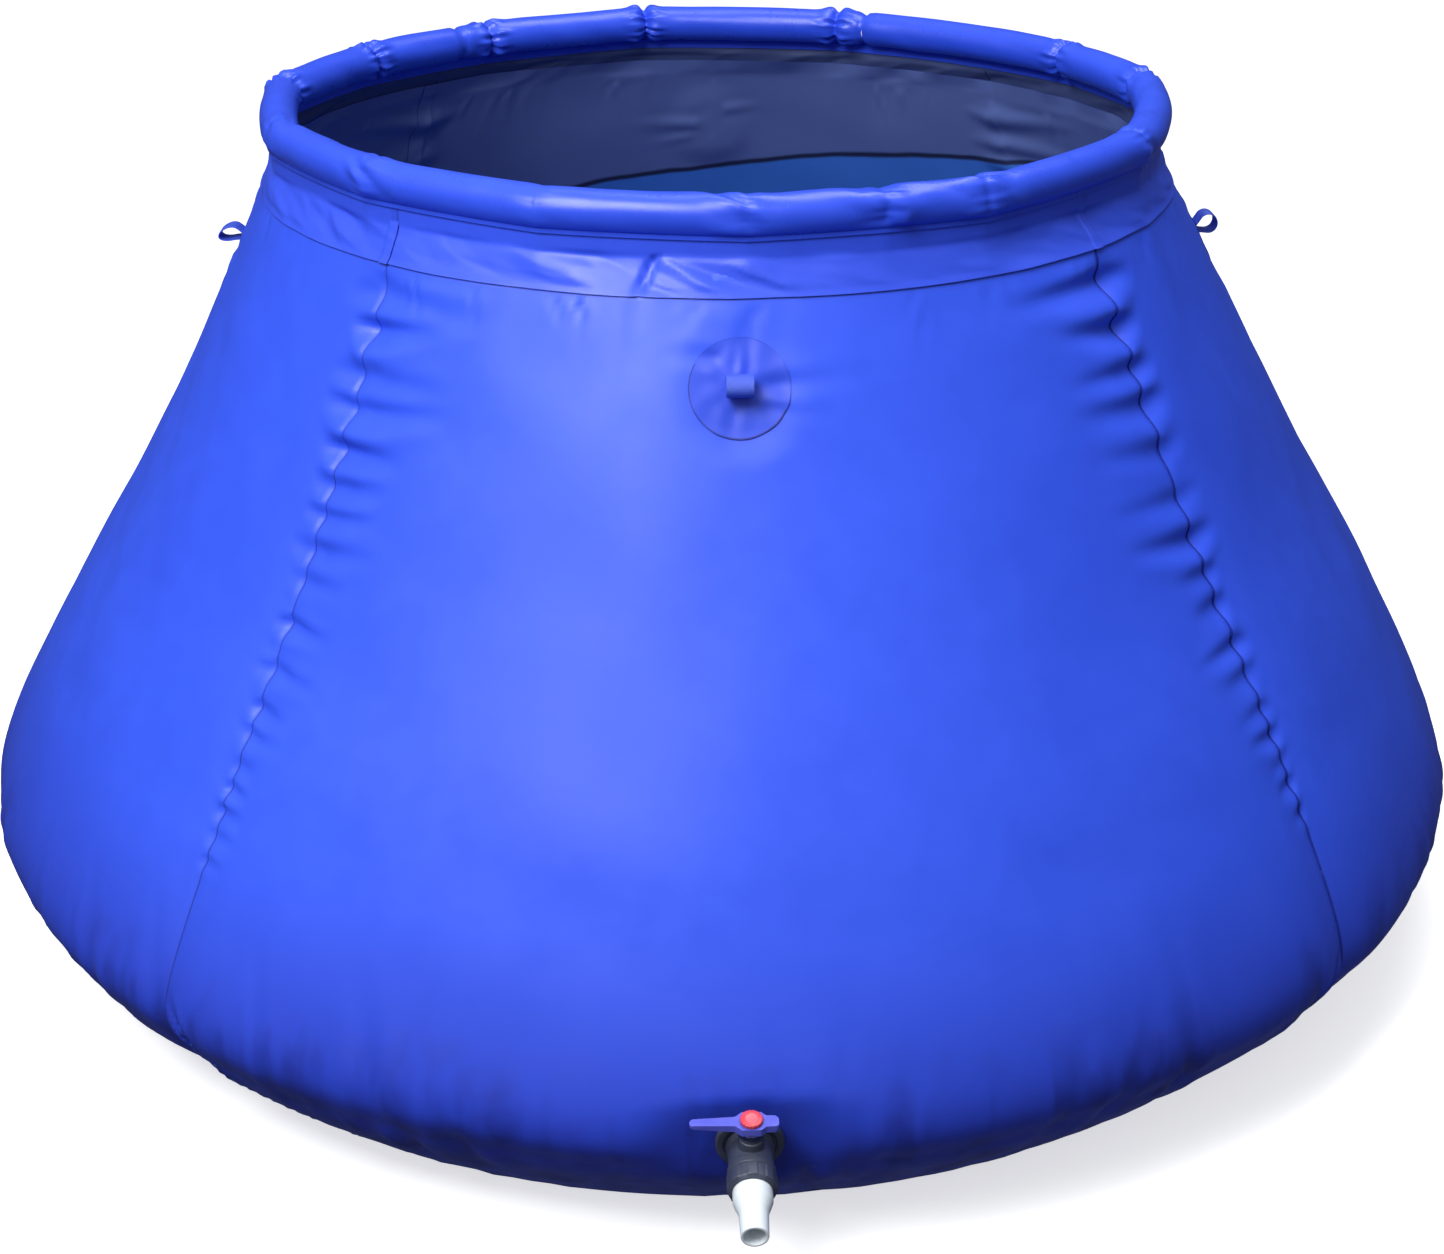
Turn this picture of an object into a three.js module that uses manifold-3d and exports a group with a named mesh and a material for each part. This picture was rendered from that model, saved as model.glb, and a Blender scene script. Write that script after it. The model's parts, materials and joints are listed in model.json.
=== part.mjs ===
// Livestock water trough: a self-supporting, open-topped tank of coated fabric. A foam-filled float
// collar holds its mouth up on the water, and a ball valve with a hose tail drains it.
//
// Millimetres, +Z up. The origin is the middle of the base's underside, on the floor, and the outlet
// faces -Y. Azimuths are degrees about +Z from -Y, positive towards +X. Outlines are [radius, height].

import * as THREE from 'three';
import { mergeVertices } from 'three/addons/utils/BufferGeometryUtils.js';
import Module from 'manifold-3d';

const wasm = await Module();
wasm.setup();

// ---------------------------------------------------------------- driving dimensions

const GAP = 0.3; // between pieces that touch
const FABRIC = 3.5; // thickness that stands for the coated fabric and its welds

const FLOOR_RADIUS = 819; // where the wall leaves the floor
const BELLY = [950, 205]; // widest ring of the full tank
const NECK = [555, 930]; // ring where the wall meets the neck band
const WALL_RINGS = [[880, 62], [930, 124], BELLY, [845, 407], [733, 589], [642, 757], NECK];

const PANELS = { front: 0, right: 90, back: 180, left: 270 }; // azimuth of each panel's middle
const HALF_PANEL = 45;
const LAP_ANGLE = 3; // each welded seam laps by this many degrees
const FACETS = 7; // flat facets of a panel between its two laps

const HEM_WIDTH = 38; // of the wall's flat hem on the base
const NECK_LAP = 28; // length of the wall's lap behind the neck band
const BAND_KNEE = 966; // height where the neck band turns upright, below the float
const BAND_TOP = 985;
const VALVE_FACET = [139.5, 206.5]; // heights between which the wall is flat behind the valve
const PATCH_FACET = [795, 900]; // and behind a loop patch

const FLOAT = { ring: 525, height: 1009, radius: 23, skin: 3, lip: 972 };
const BAND_SIDE = 12; // how far the neck band hangs outside the float's middle
const FOAM_RADIUS = 18.5;
const FOAM_GAP = 12; // between the ends of two foam logs
const FOAM_JOINTS = [-90, -47, -7, 17, 34, 53, 76, 98, 119, 143, 160, 191, 217, 240];

const PATCH = { radius: 52, thickness: 2 };
const LOOP = { width: 28, thickness: 2, headRadius: 12, headHeight: 17, footHalf: 5 };

// Valve sizes along its flow axis are distances out from the wall's outer face.
const FLANGE = { radius: 35, inner: 3.1, outer: 10 };
const BARREL_RADIUS = 21; // of the bulkhead fitting, where it goes through the wall
const SPIGOT_RADIUS = 16.5; // of the valve's threaded inlet
const FLOW_RADIUS = 10.5;
const BALL = { radius: 16.5, bore: 9.5, along: 29 };
const BODY_RADIUS = 24.5;
const THREAD_RADIUS = 22;
const THREAD_START = 54;
const BODY_END = 67;
const STEM = { radius: 5, top: 46, bossRadius: 13, bossTop: 36 };
const HANDLE = { hubRadius: 13.5, bottom: 36.6, armBottom: 44.5, top: 53, long: 61, short: 27 };
const CAP = { radius: 11.5, thickness: 4.5 };
const TAIL = { rootRadius: 20, tipRadius: 14, bore: 11, shoulder: 87, taperEnd: 101, tip: 129 };

const radians = THREE.MathUtils.degToRad;

// ---------------------------------------------------------------- materials

const material = (color, roughness, metalness = 0) => () =>
  new THREE.MeshStandardMaterial({ color, roughness, metalness, side: THREE.FrontSide });
const coatedFabric = material('#2f49d8', 0.35);
const webbing = material('#2b4fc4', 0.7);
const foam = material('#e9ebee', 0.9);
const greyPlastic = material('#3b414f', 0.5);
const bluePlastic = material('#2c36b8', 0.4);
const redPlastic = material('#c8323c', 0.4);
const whitePlastic = material('#eef3f6', 0.35);
const rubber = material('#1b1c1f', 0.85);
const sealPlastic = material('#f4f4f0', 0.3);
const steel = material('#b9bcc0', 0.3, 0.9);

// ---------------------------------------------------------------- solids

const toPoints = (pairs) => pairs.map(([x, y]) => new THREE.Vector2(x, y));

function toManifold(geometry) {
  const bare = geometry.clone();
  bare.deleteAttribute('normal');
  bare.deleteAttribute('uv');
  const merged = mergeVertices(bare, 1e-4);
  const mesh = new wasm.Mesh({
    numProp: 3,
    vertProperties: new Float32Array(merged.attributes.position.array),
    triVerts: new Uint32Array(merged.index.array),
  });
  return new wasm.Manifold(mesh);
}

function toGeometry(manifold) {
  const { vertProperties, triVerts } = manifold.getMesh();
  const geometry = new THREE.BufferGeometry();
  geometry.setAttribute('position', new THREE.BufferAttribute(vertProperties, 3));
  geometry.setIndex(new THREE.BufferAttribute(triVerts, 1));
  return geometry;
}

// Joins the added geometries and cuts the others away.
function combine(added, cut = []) {
  const whole = added.map(toManifold).reduce((solid, next) => solid.add(next));
  return toGeometry(cut.map(toManifold).reduce((solid, next) => solid.subtract(next), whole));
}

// A solid of revolution about +Z. The profile is [radius, height], anticlockwise; one that doesn't
// begin on the axis closes on itself.
function turned(profile, segments = 24) {
  const points = profile[0][0] === 0 ? profile : [...profile, profile[0]];
  return new THREE.LatheGeometry(toPoints(points), segments).rotateX(Math.PI / 2);
}

// A flat ring or washer about +Z.
const washer = (inner, outer, low, high, segments) =>
  turned([[inner, low], [outer, low], [outer, high], [inner, high]], segments);

// A cylinder along +Y, which is the stem's direction.
const upright = (radius, low, high, segments = 20) =>
  new THREE.CylinderGeometry(radius, radius, high - low, segments).translate(0, (low + high) / 2, 0);

// ---------------------------------------------------------------- rings and panels

// Azimuths of a panel's folds, from its own middle: a lap at each side and equal facets between.
const facetSteps = Array.from(
  { length: FACETS + 1 },
  (_, i) => (HALF_PANEL - LAP_ANGLE) * ((2 * i) / FACETS - 1),
);
const panelSteps = [-HALF_PANEL, ...facetSteps, HALF_PANEL];
const ringSteps = Object.values(PANELS).flatMap((middle) =>
  panelSteps.slice(0, -1).map((step) => middle + step),
);

// The outline in the upright plane at an azimuth.
function section(outline, azimuth) {
  const angle = radians(azimuth);
  return outline.map(
    ([radius, height]) =>
      new THREE.Vector3(radius * Math.sin(angle), -radius * Math.cos(angle), height),
  );
}

// Joins sections of the same outline into a solid, with its ends capped, or as a whole ring.
function loft(outline, sections, isRing) {
  const count = outline.length;
  const index = [];
  const spans = isRing ? sections.length : sections.length - 1;
  for (let s = 0; s < spans; s += 1) {
    const here = s * count;
    const next = ((s + 1) % sections.length) * count;
    for (let i = 0; i < count; i += 1) {
      const j = (i + 1) % count;
      index.push(here + i, next + i, next + j, here + i, next + j, here + j);
    }
  }
  if (!isRing) {
    const last = (sections.length - 1) * count;
    for (const [i, j, k] of THREE.ShapeUtils.triangulateShape(toPoints(outline), [])) {
      index.push(i, j, k, last + i, last + k, last + j);
    }
  }
  const geometry = new THREE.BufferGeometry().setFromPoints(sections.flat());
  return geometry.setIndex(index);
}

// Each point of an open outline moved to the left of its travel, mitred at the corners.
function offsetLeft(outline, distance) {
  const normals = outline.slice(1).map(([x, y], i) => {
    const along = new THREE.Vector2(x - outline[i][0], y - outline[i][1]).normalize();
    return new THREE.Vector2(-along.y, along.x);
  });
  return outline.map(([x, y], i) => {
    const before = normals[Math.max(i - 1, 0)];
    const after = normals[Math.min(i, normals.length - 1)];
    const reach = distance / (1 + before.dot(after));
    return [x + (before.x + after.x) * reach, y + (before.y + after.y) * reach];
  });
}

// A strip of fabric between two offsets of an outline, over some azimuths.
function strip(face, near, far, azimuths) {
  const outline = [...offsetLeft(face, near), ...offsetLeft(face, far).reverse()];
  return loft(outline, azimuths.map((azimuth) => section(outline, azimuth)), false);
}

// A panel, one quarter of the way round, that steps over by one thickness to lap its neighbour.
// side is 1 where the lap lies inside the neighbour and -1 where it lies outside.
function lappedPanel(middle, face, lapFace, side) {
  const seam = middle + HALF_PANEL;
  const own = [0, FABRIC];
  const lap = side > 0 ? [FABRIC + GAP, 2 * FABRIC + GAP] : [-FABRIC - GAP, -GAP];
  const joggle = [Math.min(lap[0], FABRIC / 2), Math.max(lap[1], FABRIC / 2)];
  return [
    strip(face, ...own, panelSteps.map((step) => middle + step)),
    strip(lapFace, ...joggle, [seam - LAP_ANGLE, seam]),
    strip(lapFace, ...lap, [seam, seam + LAP_ANGLE]),
  ];
}

// ---------------------------------------------------------------- tank

const FLOOR_LEVEL = FABRIC + GAP; // the walls' hems lie on the base panel
const wallCurve = new THREE.SplineCurve(toPoints([[FLOOR_RADIUS, FLOOR_LEVEL], ...WALL_RINGS]));
const wallSamples = wallCurve.getPoints(400);

function wallRadius(height) {
  const i = Math.max(1, wallSamples.findIndex((point) => point.y >= height - 1e-9));
  const [low, high] = [wallSamples[i - 1], wallSamples[i]];
  return THREE.MathUtils.mapLinear(height, low.y, high.y, low.x, high.x);
}

const WALL_LEVELS = [
  22, 50, 90, ...VALVE_FACET, 250, 300, 360, 430, 505, 580, 655, 728, ...PATCH_FACET, NECK[1],
];

// The neck band hangs from the outer side of the float and lies over the top of the wall.
const bandMiddle = FLOAT.ring + BAND_SIDE;
const bandInside = bandMiddle - FABRIC / 2;
const neckLine = toPoints([NECK, [bandInside - GAP, BAND_KNEE]]);
const lapTop = neckLine[1].clone().sub(neckLine[0]).setLength(NECK_LAP).add(neckLine[0]);
const wallFace = [
  [FLOOR_RADIUS - HEM_WIDTH, FLOOR_LEVEL],
  [FLOOR_RADIUS, FLOOR_LEVEL],
  ...WALL_LEVELS.map((height) => [wallRadius(height), height]),
  lapTop.toArray(),
];
const bandFaceTo = (top) =>
  offsetLeft([NECK, neckLine[1].toArray(), [neckLine[1].x, top]], -GAP - FABRIC);

function basePanel() {
  const rim = ringSteps.map((step) => section([[FLOOR_RADIUS + FABRIC, 0]], step)[0]);
  const shape = new THREE.Shape(rim.map((corner) => new THREE.Vector2(corner.x, corner.y)));
  return new THREE.ExtrudeGeometry(shape, { depth: FABRIC, bevelEnabled: false });
}

// The float's skin: round, with two lips that hold the neck band's top edge between them.
function sleeveOutline() {
  const { ring, height, radius, skin, lip } = FLOAT;
  const slot = FABRIC / 2 + GAP;
  const arc = (size, half) => {
    const start = Math.asin((BAND_SIDE + half) / size) - Math.PI / 2;
    const end = Math.asin((BAND_SIDE - half) / size) + (3 * Math.PI) / 2;
    const steps = 10;
    return Array.from({ length: steps + 1 }, (_, i) => {
      const angle = start + ((end - start) * i) / steps;
      return [ring + size * Math.cos(angle), height + size * Math.sin(angle)];
    });
  };
  return [
    [bandMiddle + slot + skin, lip],
    ...arc(radius, slot + skin),
    [bandMiddle - slot - skin, lip],
    [bandMiddle - slot, lip],
    ...arc(radius - skin, slot).reverse(),
    [bandMiddle + slot, lip],
  ];
}

// Radius at an azimuth of the flat facet between the two ring steps around it.
function facetRadius(radius, azimuth) {
  const start = ringSteps[0];
  const turn = THREE.MathUtils.euclideanModulo(azimuth - start, 360) + start;
  const low = ringSteps.findLast((step) => step <= turn + 1e-9);
  const high = ringSteps.find((step) => step > turn + 1e-9) ?? start + 360;
  return (radius * Math.cos(radians((high - low) / 2))) / Math.cos(radians(turn - (low + high) / 2));
}

function foamLog(from, to) {
  const sides = 8;
  const margin = THREE.MathUtils.radToDeg(FOAM_GAP / 2 / FLOAT.ring);
  const [start, end] = [from + margin, to - margin];
  const folds = [...ringSteps, ...ringSteps.map((step) => step - 360)]
    .filter((step) => step > start + 0.5 && step < end - 0.5)
    .sort((a, b) => a - b);
  const outline = Array.from({ length: sides }, (_, i) => {
    const angle = (2 * Math.PI * (i + 0.5)) / sides;
    return [
      FLOAT.ring + FOAM_RADIUS * Math.cos(angle),
      FLOAT.height + FOAM_RADIUS * Math.sin(angle),
    ];
  });
  const sections = [start, ...folds, end].map((azimuth) =>
    section(outline.map(([r, z]) => [facetRadius(r, azimuth), z]), azimuth),
  );
  return loft(outline, sections, false);
}

// ---------------------------------------------------------------- places on the wall

// A group on a panel's middle facet: its +Z is the facet's outward normal and its +Y goes up it.
function wallPlace(azimuth, [low, high]) {
  const flat = Math.cos(radians(facetSteps[1] - facetSteps[0]) / 2);
  const [lowRadius, highRadius] = [wallRadius(low) * flat, wallRadius(high) * flat];
  const lean = Math.atan2(highRadius - lowRadius, high - low);
  const spot = new THREE.Group();
  spot.rotation.set(Math.PI / 2 + lean, 0, 0);
  spot.position.set(0, -(lowRadius + highRadius) / 2, (low + high) / 2);
  const turn = new THREE.Group();
  turn.rotation.z = radians(azimuth);
  turn.add(spot);
  turn.updateMatrixWorld(true);
  return { turn, spot };
}

// ---------------------------------------------------------------- loops

const loopPatch = () =>
  new THREE.CylinderGeometry(PATCH.radius, PATCH.radius, PATCH.thickness, 32)
    .rotateX(Math.PI / 2)
    .translate(0, 0, GAP + PATCH.thickness / 2);

// Webbing bent into an upright eye, narrow at its foot. The eye's opening runs along X.
function tieLoop() {
  const { width, thickness, headRadius, headHeight, footHalf } = LOOP;
  const eye = (path, inset) => {
    const spread = radians(25);
    path.moveTo(-footHalf + inset, inset);
    path.lineTo(footHalf - inset, inset);
    path.absarc(0, headHeight, headRadius - inset, -spread, Math.PI + spread, false);
    path.closePath();
    return path;
  };
  const shape = eye(new THREE.Shape(), 0);
  shape.holes.push(eye(new THREE.Path(), thickness));
  return new THREE.ExtrudeGeometry(shape, { depth: width, bevelEnabled: false, curveSegments: 7 })
    .translate(0, 0, -width / 2)
    .rotateX(Math.PI / 2)
    .rotateZ(Math.PI / 2)
    .translate(0, 0, 2 * GAP + PATCH.thickness);
}

// ---------------------------------------------------------------- valve

const gasketThickness = 2.5;
const nutBack = -FABRIC - 2 * GAP - gasketThickness; // the inner nut's face towards the wall
const clearBarrel = BARREL_RADIUS + 0.4;

const outerGasket = () => washer(clearBarrel, 33, GAP, GAP + gasketThickness);
const innerGasket = () =>
  washer(clearBarrel, 30, -FABRIC - GAP - gasketThickness, -FABRIC - GAP);

function bulkheadFitting() {
  const bore = SPIGOT_RADIUS + 0.4;
  return turned([
    [bore, -30],
    [BARREL_RADIUS, -30],
    [BARREL_RADIUS, FLANGE.inner],
    [FLANGE.radius, FLANGE.inner],
    [FLANGE.radius, FLANGE.outer],
    [bore, FLANGE.outer],
  ]);
}

function bulkheadNut() {
  const hexagon = new THREE.CylinderGeometry(30, 30, 12, 6).rotateX(Math.PI / 2);
  const hole = new THREE.CylinderGeometry(clearBarrel, clearBarrel, 14, 24).rotateX(Math.PI / 2);
  return combine([hexagon], [hole]).translate(0, 0, nutBack - 6);
}

const cavityStart = BALL.along - BALL.radius - 0.2;
const cavityRadius = BALL.radius + 1.8;

function valveBody() {
  const shoulder = FLANGE.outer + GAP;
  const outside = turned([
    [0, -22],
    [SPIGOT_RADIUS, -22],
    [SPIGOT_RADIUS, shoulder],
    [BODY_RADIUS, shoulder],
    [BODY_RADIUS, THREAD_START],
    [THREAD_RADIUS, THREAD_START],
    [THREAD_RADIUS, BODY_END],
    [0, BODY_END],
  ]);
  const boss = upright(STEM.bossRadius, 5, STEM.bossTop, 24).translate(0, 0, BALL.along);
  const inside = turned([
    [0, -23],
    [FLOW_RADIUS, -23],
    [FLOW_RADIUS, cavityStart],
    [cavityRadius, cavityStart],
    [cavityRadius, BODY_END + 1],
    [0, BODY_END + 1],
  ]);
  const stemBore = upright(STEM.radius + 0.3, 0, STEM.bossTop + 1);
  const sealPocket = upright(8, 29.7, STEM.bossTop + 1);
  const holes = [stemBore, sealPocket].map((hole) => hole.translate(0, 0, BALL.along));
  return combine([outside, boss], [inside, ...holes]);
}

// A seat on the ball's inlet side (-1) or outlet side (1).
function ballSeat(side) {
  const ends = [13, BALL.radius - 0.1].map((reach) => BALL.along + side * reach);
  return washer(FLOW_RADIUS, cavityRadius - GAP, Math.min(...ends), Math.max(...ends));
}

const seatRetainer = () =>
  washer(FLOW_RADIUS, cavityRadius - GAP, BALL.along + BALL.radius + 0.2, BODY_END - GAP);

// The ball is closed: its bore lies across the flow.
function valveBall() {
  const sphere = new THREE.SphereGeometry(BALL.radius, 20, 14);
  const bore = new THREE.CylinderGeometry(BALL.bore, BALL.bore, 40, 20).rotateZ(Math.PI / 2);
  return combine([sphere], [bore]).translate(0, 0, BALL.along);
}

const screwRadius = 2;

function valveStem() {
  const shaft = upright(STEM.radius, BALL.radius + GAP, STEM.top);
  const hole = upright(screwRadius + 0.3, STEM.top - 9, STEM.top + 1, 12);
  return combine([shaft], [hole]).translate(0, 0, BALL.along);
}

const stemSeal = () =>
  washer(STEM.radius + 0.3, 7.7, 30, 33).rotateX(-Math.PI / 2).translate(0, 0, BALL.along);

// The lever seen along the stem: a long tapering arm to -X, a hub and a short arm to +X.
function valveHandle() {
  const { hubRadius, bottom, armBottom, top, long, short } = HANDLE;
  const tip = 5.5;
  const stub = 7;
  const plan = new THREE.Shape();
  plan.absarc(-long + tip, 0, tip, Math.PI / 2, (3 * Math.PI) / 2, false);
  plan.lineTo(-hubRadius, -8);
  plan.lineTo(0, -hubRadius);
  plan.lineTo(hubRadius, -8);
  plan.absarc(short - stub, 0, stub, -Math.PI / 2, Math.PI / 2, false);
  plan.lineTo(hubRadius, 8);
  plan.lineTo(0, hubRadius);
  plan.lineTo(-hubRadius, 8);
  plan.closePath();
  const lever = new THREE.ExtrudeGeometry(plan, {
    depth: top - armBottom,
    bevelEnabled: false,
    curveSegments: 6,
  });
  lever.rotateX(-Math.PI / 2).translate(0, armBottom, 0);
  const hub = upright(hubRadius, bottom, armBottom + 1, 24);
  const socket = upright(STEM.radius + 0.3, bottom - 1, STEM.top + 0.3);
  const screwHole = upright(screwRadius + 0.3, STEM.top, top + 1, 12);
  const headPocket = upright(4.4, top - 3, top + 1, 16);
  return combine([lever, hub], [socket, screwHole, headPocket]).translate(0, 0, BALL.along);
}

function handleScrew() {
  const shank = upright(screwRadius, STEM.top - 8, HANDLE.top - 2, 12);
  const head = upright(4, HANDLE.top - 2.7, HANDLE.top - 0.3, 16);
  return combine([shank, head]).translate(0, 0, BALL.along);
}

const handleCap = () =>
  upright(CAP.radius, HANDLE.top + GAP, HANDLE.top + GAP + CAP.thickness, 24)
    .translate(0, 0, BALL.along);

// The union nut screws over the body's end and its lip holds the hose tail's flange.
const tailFlange = [BODY_END + 2.1, BODY_END + 4.5];
const nutLip = tailFlange[1] + GAP;

function outletNut() {
  return turned([
    [THREAD_RADIUS + 0.3, THREAD_START + GAP],
    [BODY_RADIUS + 1, THREAD_START + GAP],
    [BODY_RADIUS + 1, nutLip + 2.7],
    [TAIL.rootRadius + 0.3, nutLip + 2.7],
    [TAIL.rootRadius + 0.3, nutLip],
    [THREAD_RADIUS + 0.3, nutLip],
  ]);
}

const tailSeal = () => washer(12, 21, BODY_END + GAP, BODY_END + 1.8);

function hoseTail() {
  return turned([
    [TAIL.bore, tailFlange[0]],
    [THREAD_RADIUS, tailFlange[0]],
    [THREAD_RADIUS, tailFlange[1]],
    [TAIL.rootRadius, tailFlange[1]],
    [TAIL.rootRadius, TAIL.shoulder],
    [TAIL.tipRadius, TAIL.taperEnd],
    [TAIL.tipRadius, TAIL.tip],
    [TAIL.bore, TAIL.tip],
  ]);
}

// ---------------------------------------------------------------- assembly

const trough = new THREE.Group();

function addPart(parent, name, geometry, look) {
  const mesh = new THREE.Mesh(geometry, look());
  mesh.name = name;
  parent.add(mesh);
}

addPart(trough, 'base_panel', basePanel(), coatedFabric);

const valvePlace = wallPlace(PANELS.front, VALVE_FACET);
const wallHole = new THREE.CylinderGeometry(clearBarrel, clearBarrel, 40, 24)
  .rotateX(Math.PI / 2)
  .applyMatrix4(valvePlace.spot.matrixWorld);

const bandFace = bandFaceTo(BAND_TOP);
const bandLapFace = bandFaceTo(FLOAT.lip - 1);

for (const [side, azimuth] of Object.entries(PANELS)) {
  const wall = lappedPanel(azimuth, wallFace, wallFace, 1);
  const holes = side === 'front' ? [wallHole] : [];
  addPart(trough, `wall_panel_${side}`, combine(wall, holes), coatedFabric);
  const band = lappedPanel(azimuth, bandFace, bandLapFace, -1);
  addPart(trough, `neck_band_${side}`, combine(band), coatedFabric);

  const { turn, spot } = wallPlace(azimuth, PATCH_FACET);
  addPart(spot, `loop_patch_${side}`, loopPatch(), coatedFabric);
  addPart(spot, `tie_loop_${side}`, tieLoop(), webbing);
  trough.add(turn);
}

const sleeve = sleeveOutline();
const sleeveSections = ringSteps.map((step) => section(sleeve, step));
addPart(trough, 'float_sleeve', loft(sleeve, sleeveSections, true), coatedFabric);
FOAM_JOINTS.forEach((joint, i) => {
  const next = FOAM_JOINTS[i + 1] ?? FOAM_JOINTS[0] + 360;
  const number = String(i + 1).padStart(2, '0');
  addPart(trough, `float_foam_${number}`, foamLog(joint, next), foam);
});

const valveParts = [
  ['outlet_gasket_outer', outerGasket(), rubber],
  ['outlet_gasket_inner', innerGasket(), rubber],
  ['bulkhead_fitting', bulkheadFitting(), greyPlastic],
  ['bulkhead_nut', bulkheadNut(), greyPlastic],
  ['valve_body', valveBody(), greyPlastic],
  ['valve_ball', valveBall(), sealPlastic],
  ['ball_seat_inlet', ballSeat(-1), sealPlastic],
  ['ball_seat_outlet', ballSeat(1), sealPlastic],
  ['seat_retainer', seatRetainer(), greyPlastic],
  ['valve_stem', valveStem(), greyPlastic],
  ['stem_seal', stemSeal(), rubber],
  ['valve_handle', valveHandle(), bluePlastic],
  ['handle_screw', handleScrew(), steel],
  ['handle_cap', handleCap(), redPlastic],
  ['outlet_nut', outletNut(), greyPlastic],
  ['hose_tail_seal', tailSeal(), rubber],
  ['hose_tail', hoseTail(), whitePlastic],
];
for (const [name, geometry, look] of valveParts) {
  addPart(valvePlace.spot, name, geometry, look);
}
trough.add(valvePlace.turn);

export default trough;
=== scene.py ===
import json
import math

import bmesh
import bpy
import numpy as np
from mathutils import Matrix, Vector


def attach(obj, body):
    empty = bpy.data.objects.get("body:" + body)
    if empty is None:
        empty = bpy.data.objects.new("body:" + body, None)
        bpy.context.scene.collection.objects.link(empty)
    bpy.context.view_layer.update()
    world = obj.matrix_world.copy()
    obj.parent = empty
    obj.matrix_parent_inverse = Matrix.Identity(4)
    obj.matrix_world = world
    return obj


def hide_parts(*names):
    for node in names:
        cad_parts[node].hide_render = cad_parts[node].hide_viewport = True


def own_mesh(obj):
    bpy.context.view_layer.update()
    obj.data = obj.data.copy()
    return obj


# Livestock water trough: a self-supporting, open-topped tank of coated fabric with a foam-filled
# float collar and a drain valve. Metres, +Z up; the outlet faces -Y. Azimuths are degrees about +Z
# from -Y, positive towards +X. "Arc" is a distance round the tank, from a seam or a crease.

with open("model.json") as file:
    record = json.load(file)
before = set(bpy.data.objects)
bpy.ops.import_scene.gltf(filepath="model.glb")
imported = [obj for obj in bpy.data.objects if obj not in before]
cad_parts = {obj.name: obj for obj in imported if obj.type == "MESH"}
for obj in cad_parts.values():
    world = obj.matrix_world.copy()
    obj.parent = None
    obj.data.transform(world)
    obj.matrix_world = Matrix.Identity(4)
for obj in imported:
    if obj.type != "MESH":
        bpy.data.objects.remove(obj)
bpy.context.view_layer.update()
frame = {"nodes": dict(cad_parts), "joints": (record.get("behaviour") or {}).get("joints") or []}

# ---------------------------------------------------------------- sizes

FABRIC = 0.0012  # thickness of the coated fabric
SKIN_GAP = 0.0004  # between two layers that touch
LAYER = FABRIC + SKIN_GAP
SIDES = {"front": 0, "right": 90, "back": 180, "left": 270}  # azimuth of each side's loop patch
SEAMS = [-41.5, 46, 135, 225, 318.5]  # azimuths of the wall's seams, round to the first again
BAND_SEAMS = [-42.4, 46, 135, 225, 317.6]

FLOOR_LEVEL = 0.0024  # of the wall's hem, which lies on the base
HEM_WIDTH = 0.038
SPLIT_HEIGHT = 0.285  # below it the wall keeps its shape when the collar comes down
NECK_RADIUS, NECK_HEIGHT = 0.555, 0.930
NECK_LAP = 0.024  # of the wall behind the neck band
WALL_RINGS = [  # radius and height of the full tank's wall
    (0.819, FLOOR_LEVEL), (0.880, 0.062), (0.930, 0.124), (0.950, 0.205), (0.845, 0.407),
    (0.733, 0.589), (0.642, 0.757), (NECK_RADIUS, NECK_HEIGHT),
]
SLUMP = [  # how far the full tank leans to +X, by height
    (-0.009, 0.0), (-0.008, 0.06), (-0.004, 0.14), (0.002, 0.27), (0.006, 0.45), (0.005, 0.70),
    (-0.001, 0.84), (-0.006, NECK_HEIGHT), (-0.006, 1.05),
]
FACET_HALF = math.radians(6)  # half the angle of a flat facet of the CAD wall
VALVE_FACET = (0.1395, 0.2065)  # heights between which the wall is flat behind the valve
PATCH_FACET = (0.795, 0.900)  # and behind a loop patch
PANEL_BULGE = 0.0055  # of a panel's middle, and as much inwards at its seams
LAP_TURN = 2.2  # degrees that a panel goes on under the next one

BAND_KNEE = 0.966  # height where the neck band turns upright
BAND_TOP = 0.991
BAND_SIDE = 0.012  # how far the band hangs outside the float's middle
BAND_CREASE = -10.5  # azimuth of the foot of its one leaning crease
BAND_LAP = [0.3, 0.6, 0.9, 1.14, 1.2]  # degrees that a strip goes on past its seam
FLOAT_RADIUS = 0.525  # of the ring through the middle of the float
FLOAT_HEIGHT = 1.009
SLEEVE_RADIUS = 0.023
BAND_FOOT = NECK_HEIGHT + 0.0002  # any lower and the flattened wall cuts it
SLEEVE_FEET = {"outer": 0.9865, "inner": 0.973}  # lower edges of the lips that hold the band's top
LIP_OFFSET = 0.0026
FOAM_RADIUS = 0.0172
FOAM_GAP = 0.012
FOAM_JOINTS = np.array([-97, -72, -46, -22, 1, 16.5, 29, 60, 97, 118.5, 160, 190.5, 216.5, 240])
LOG_ENDS = np.append(FOAM_JOINTS, FOAM_JOINTS[0] + 360)
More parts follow.
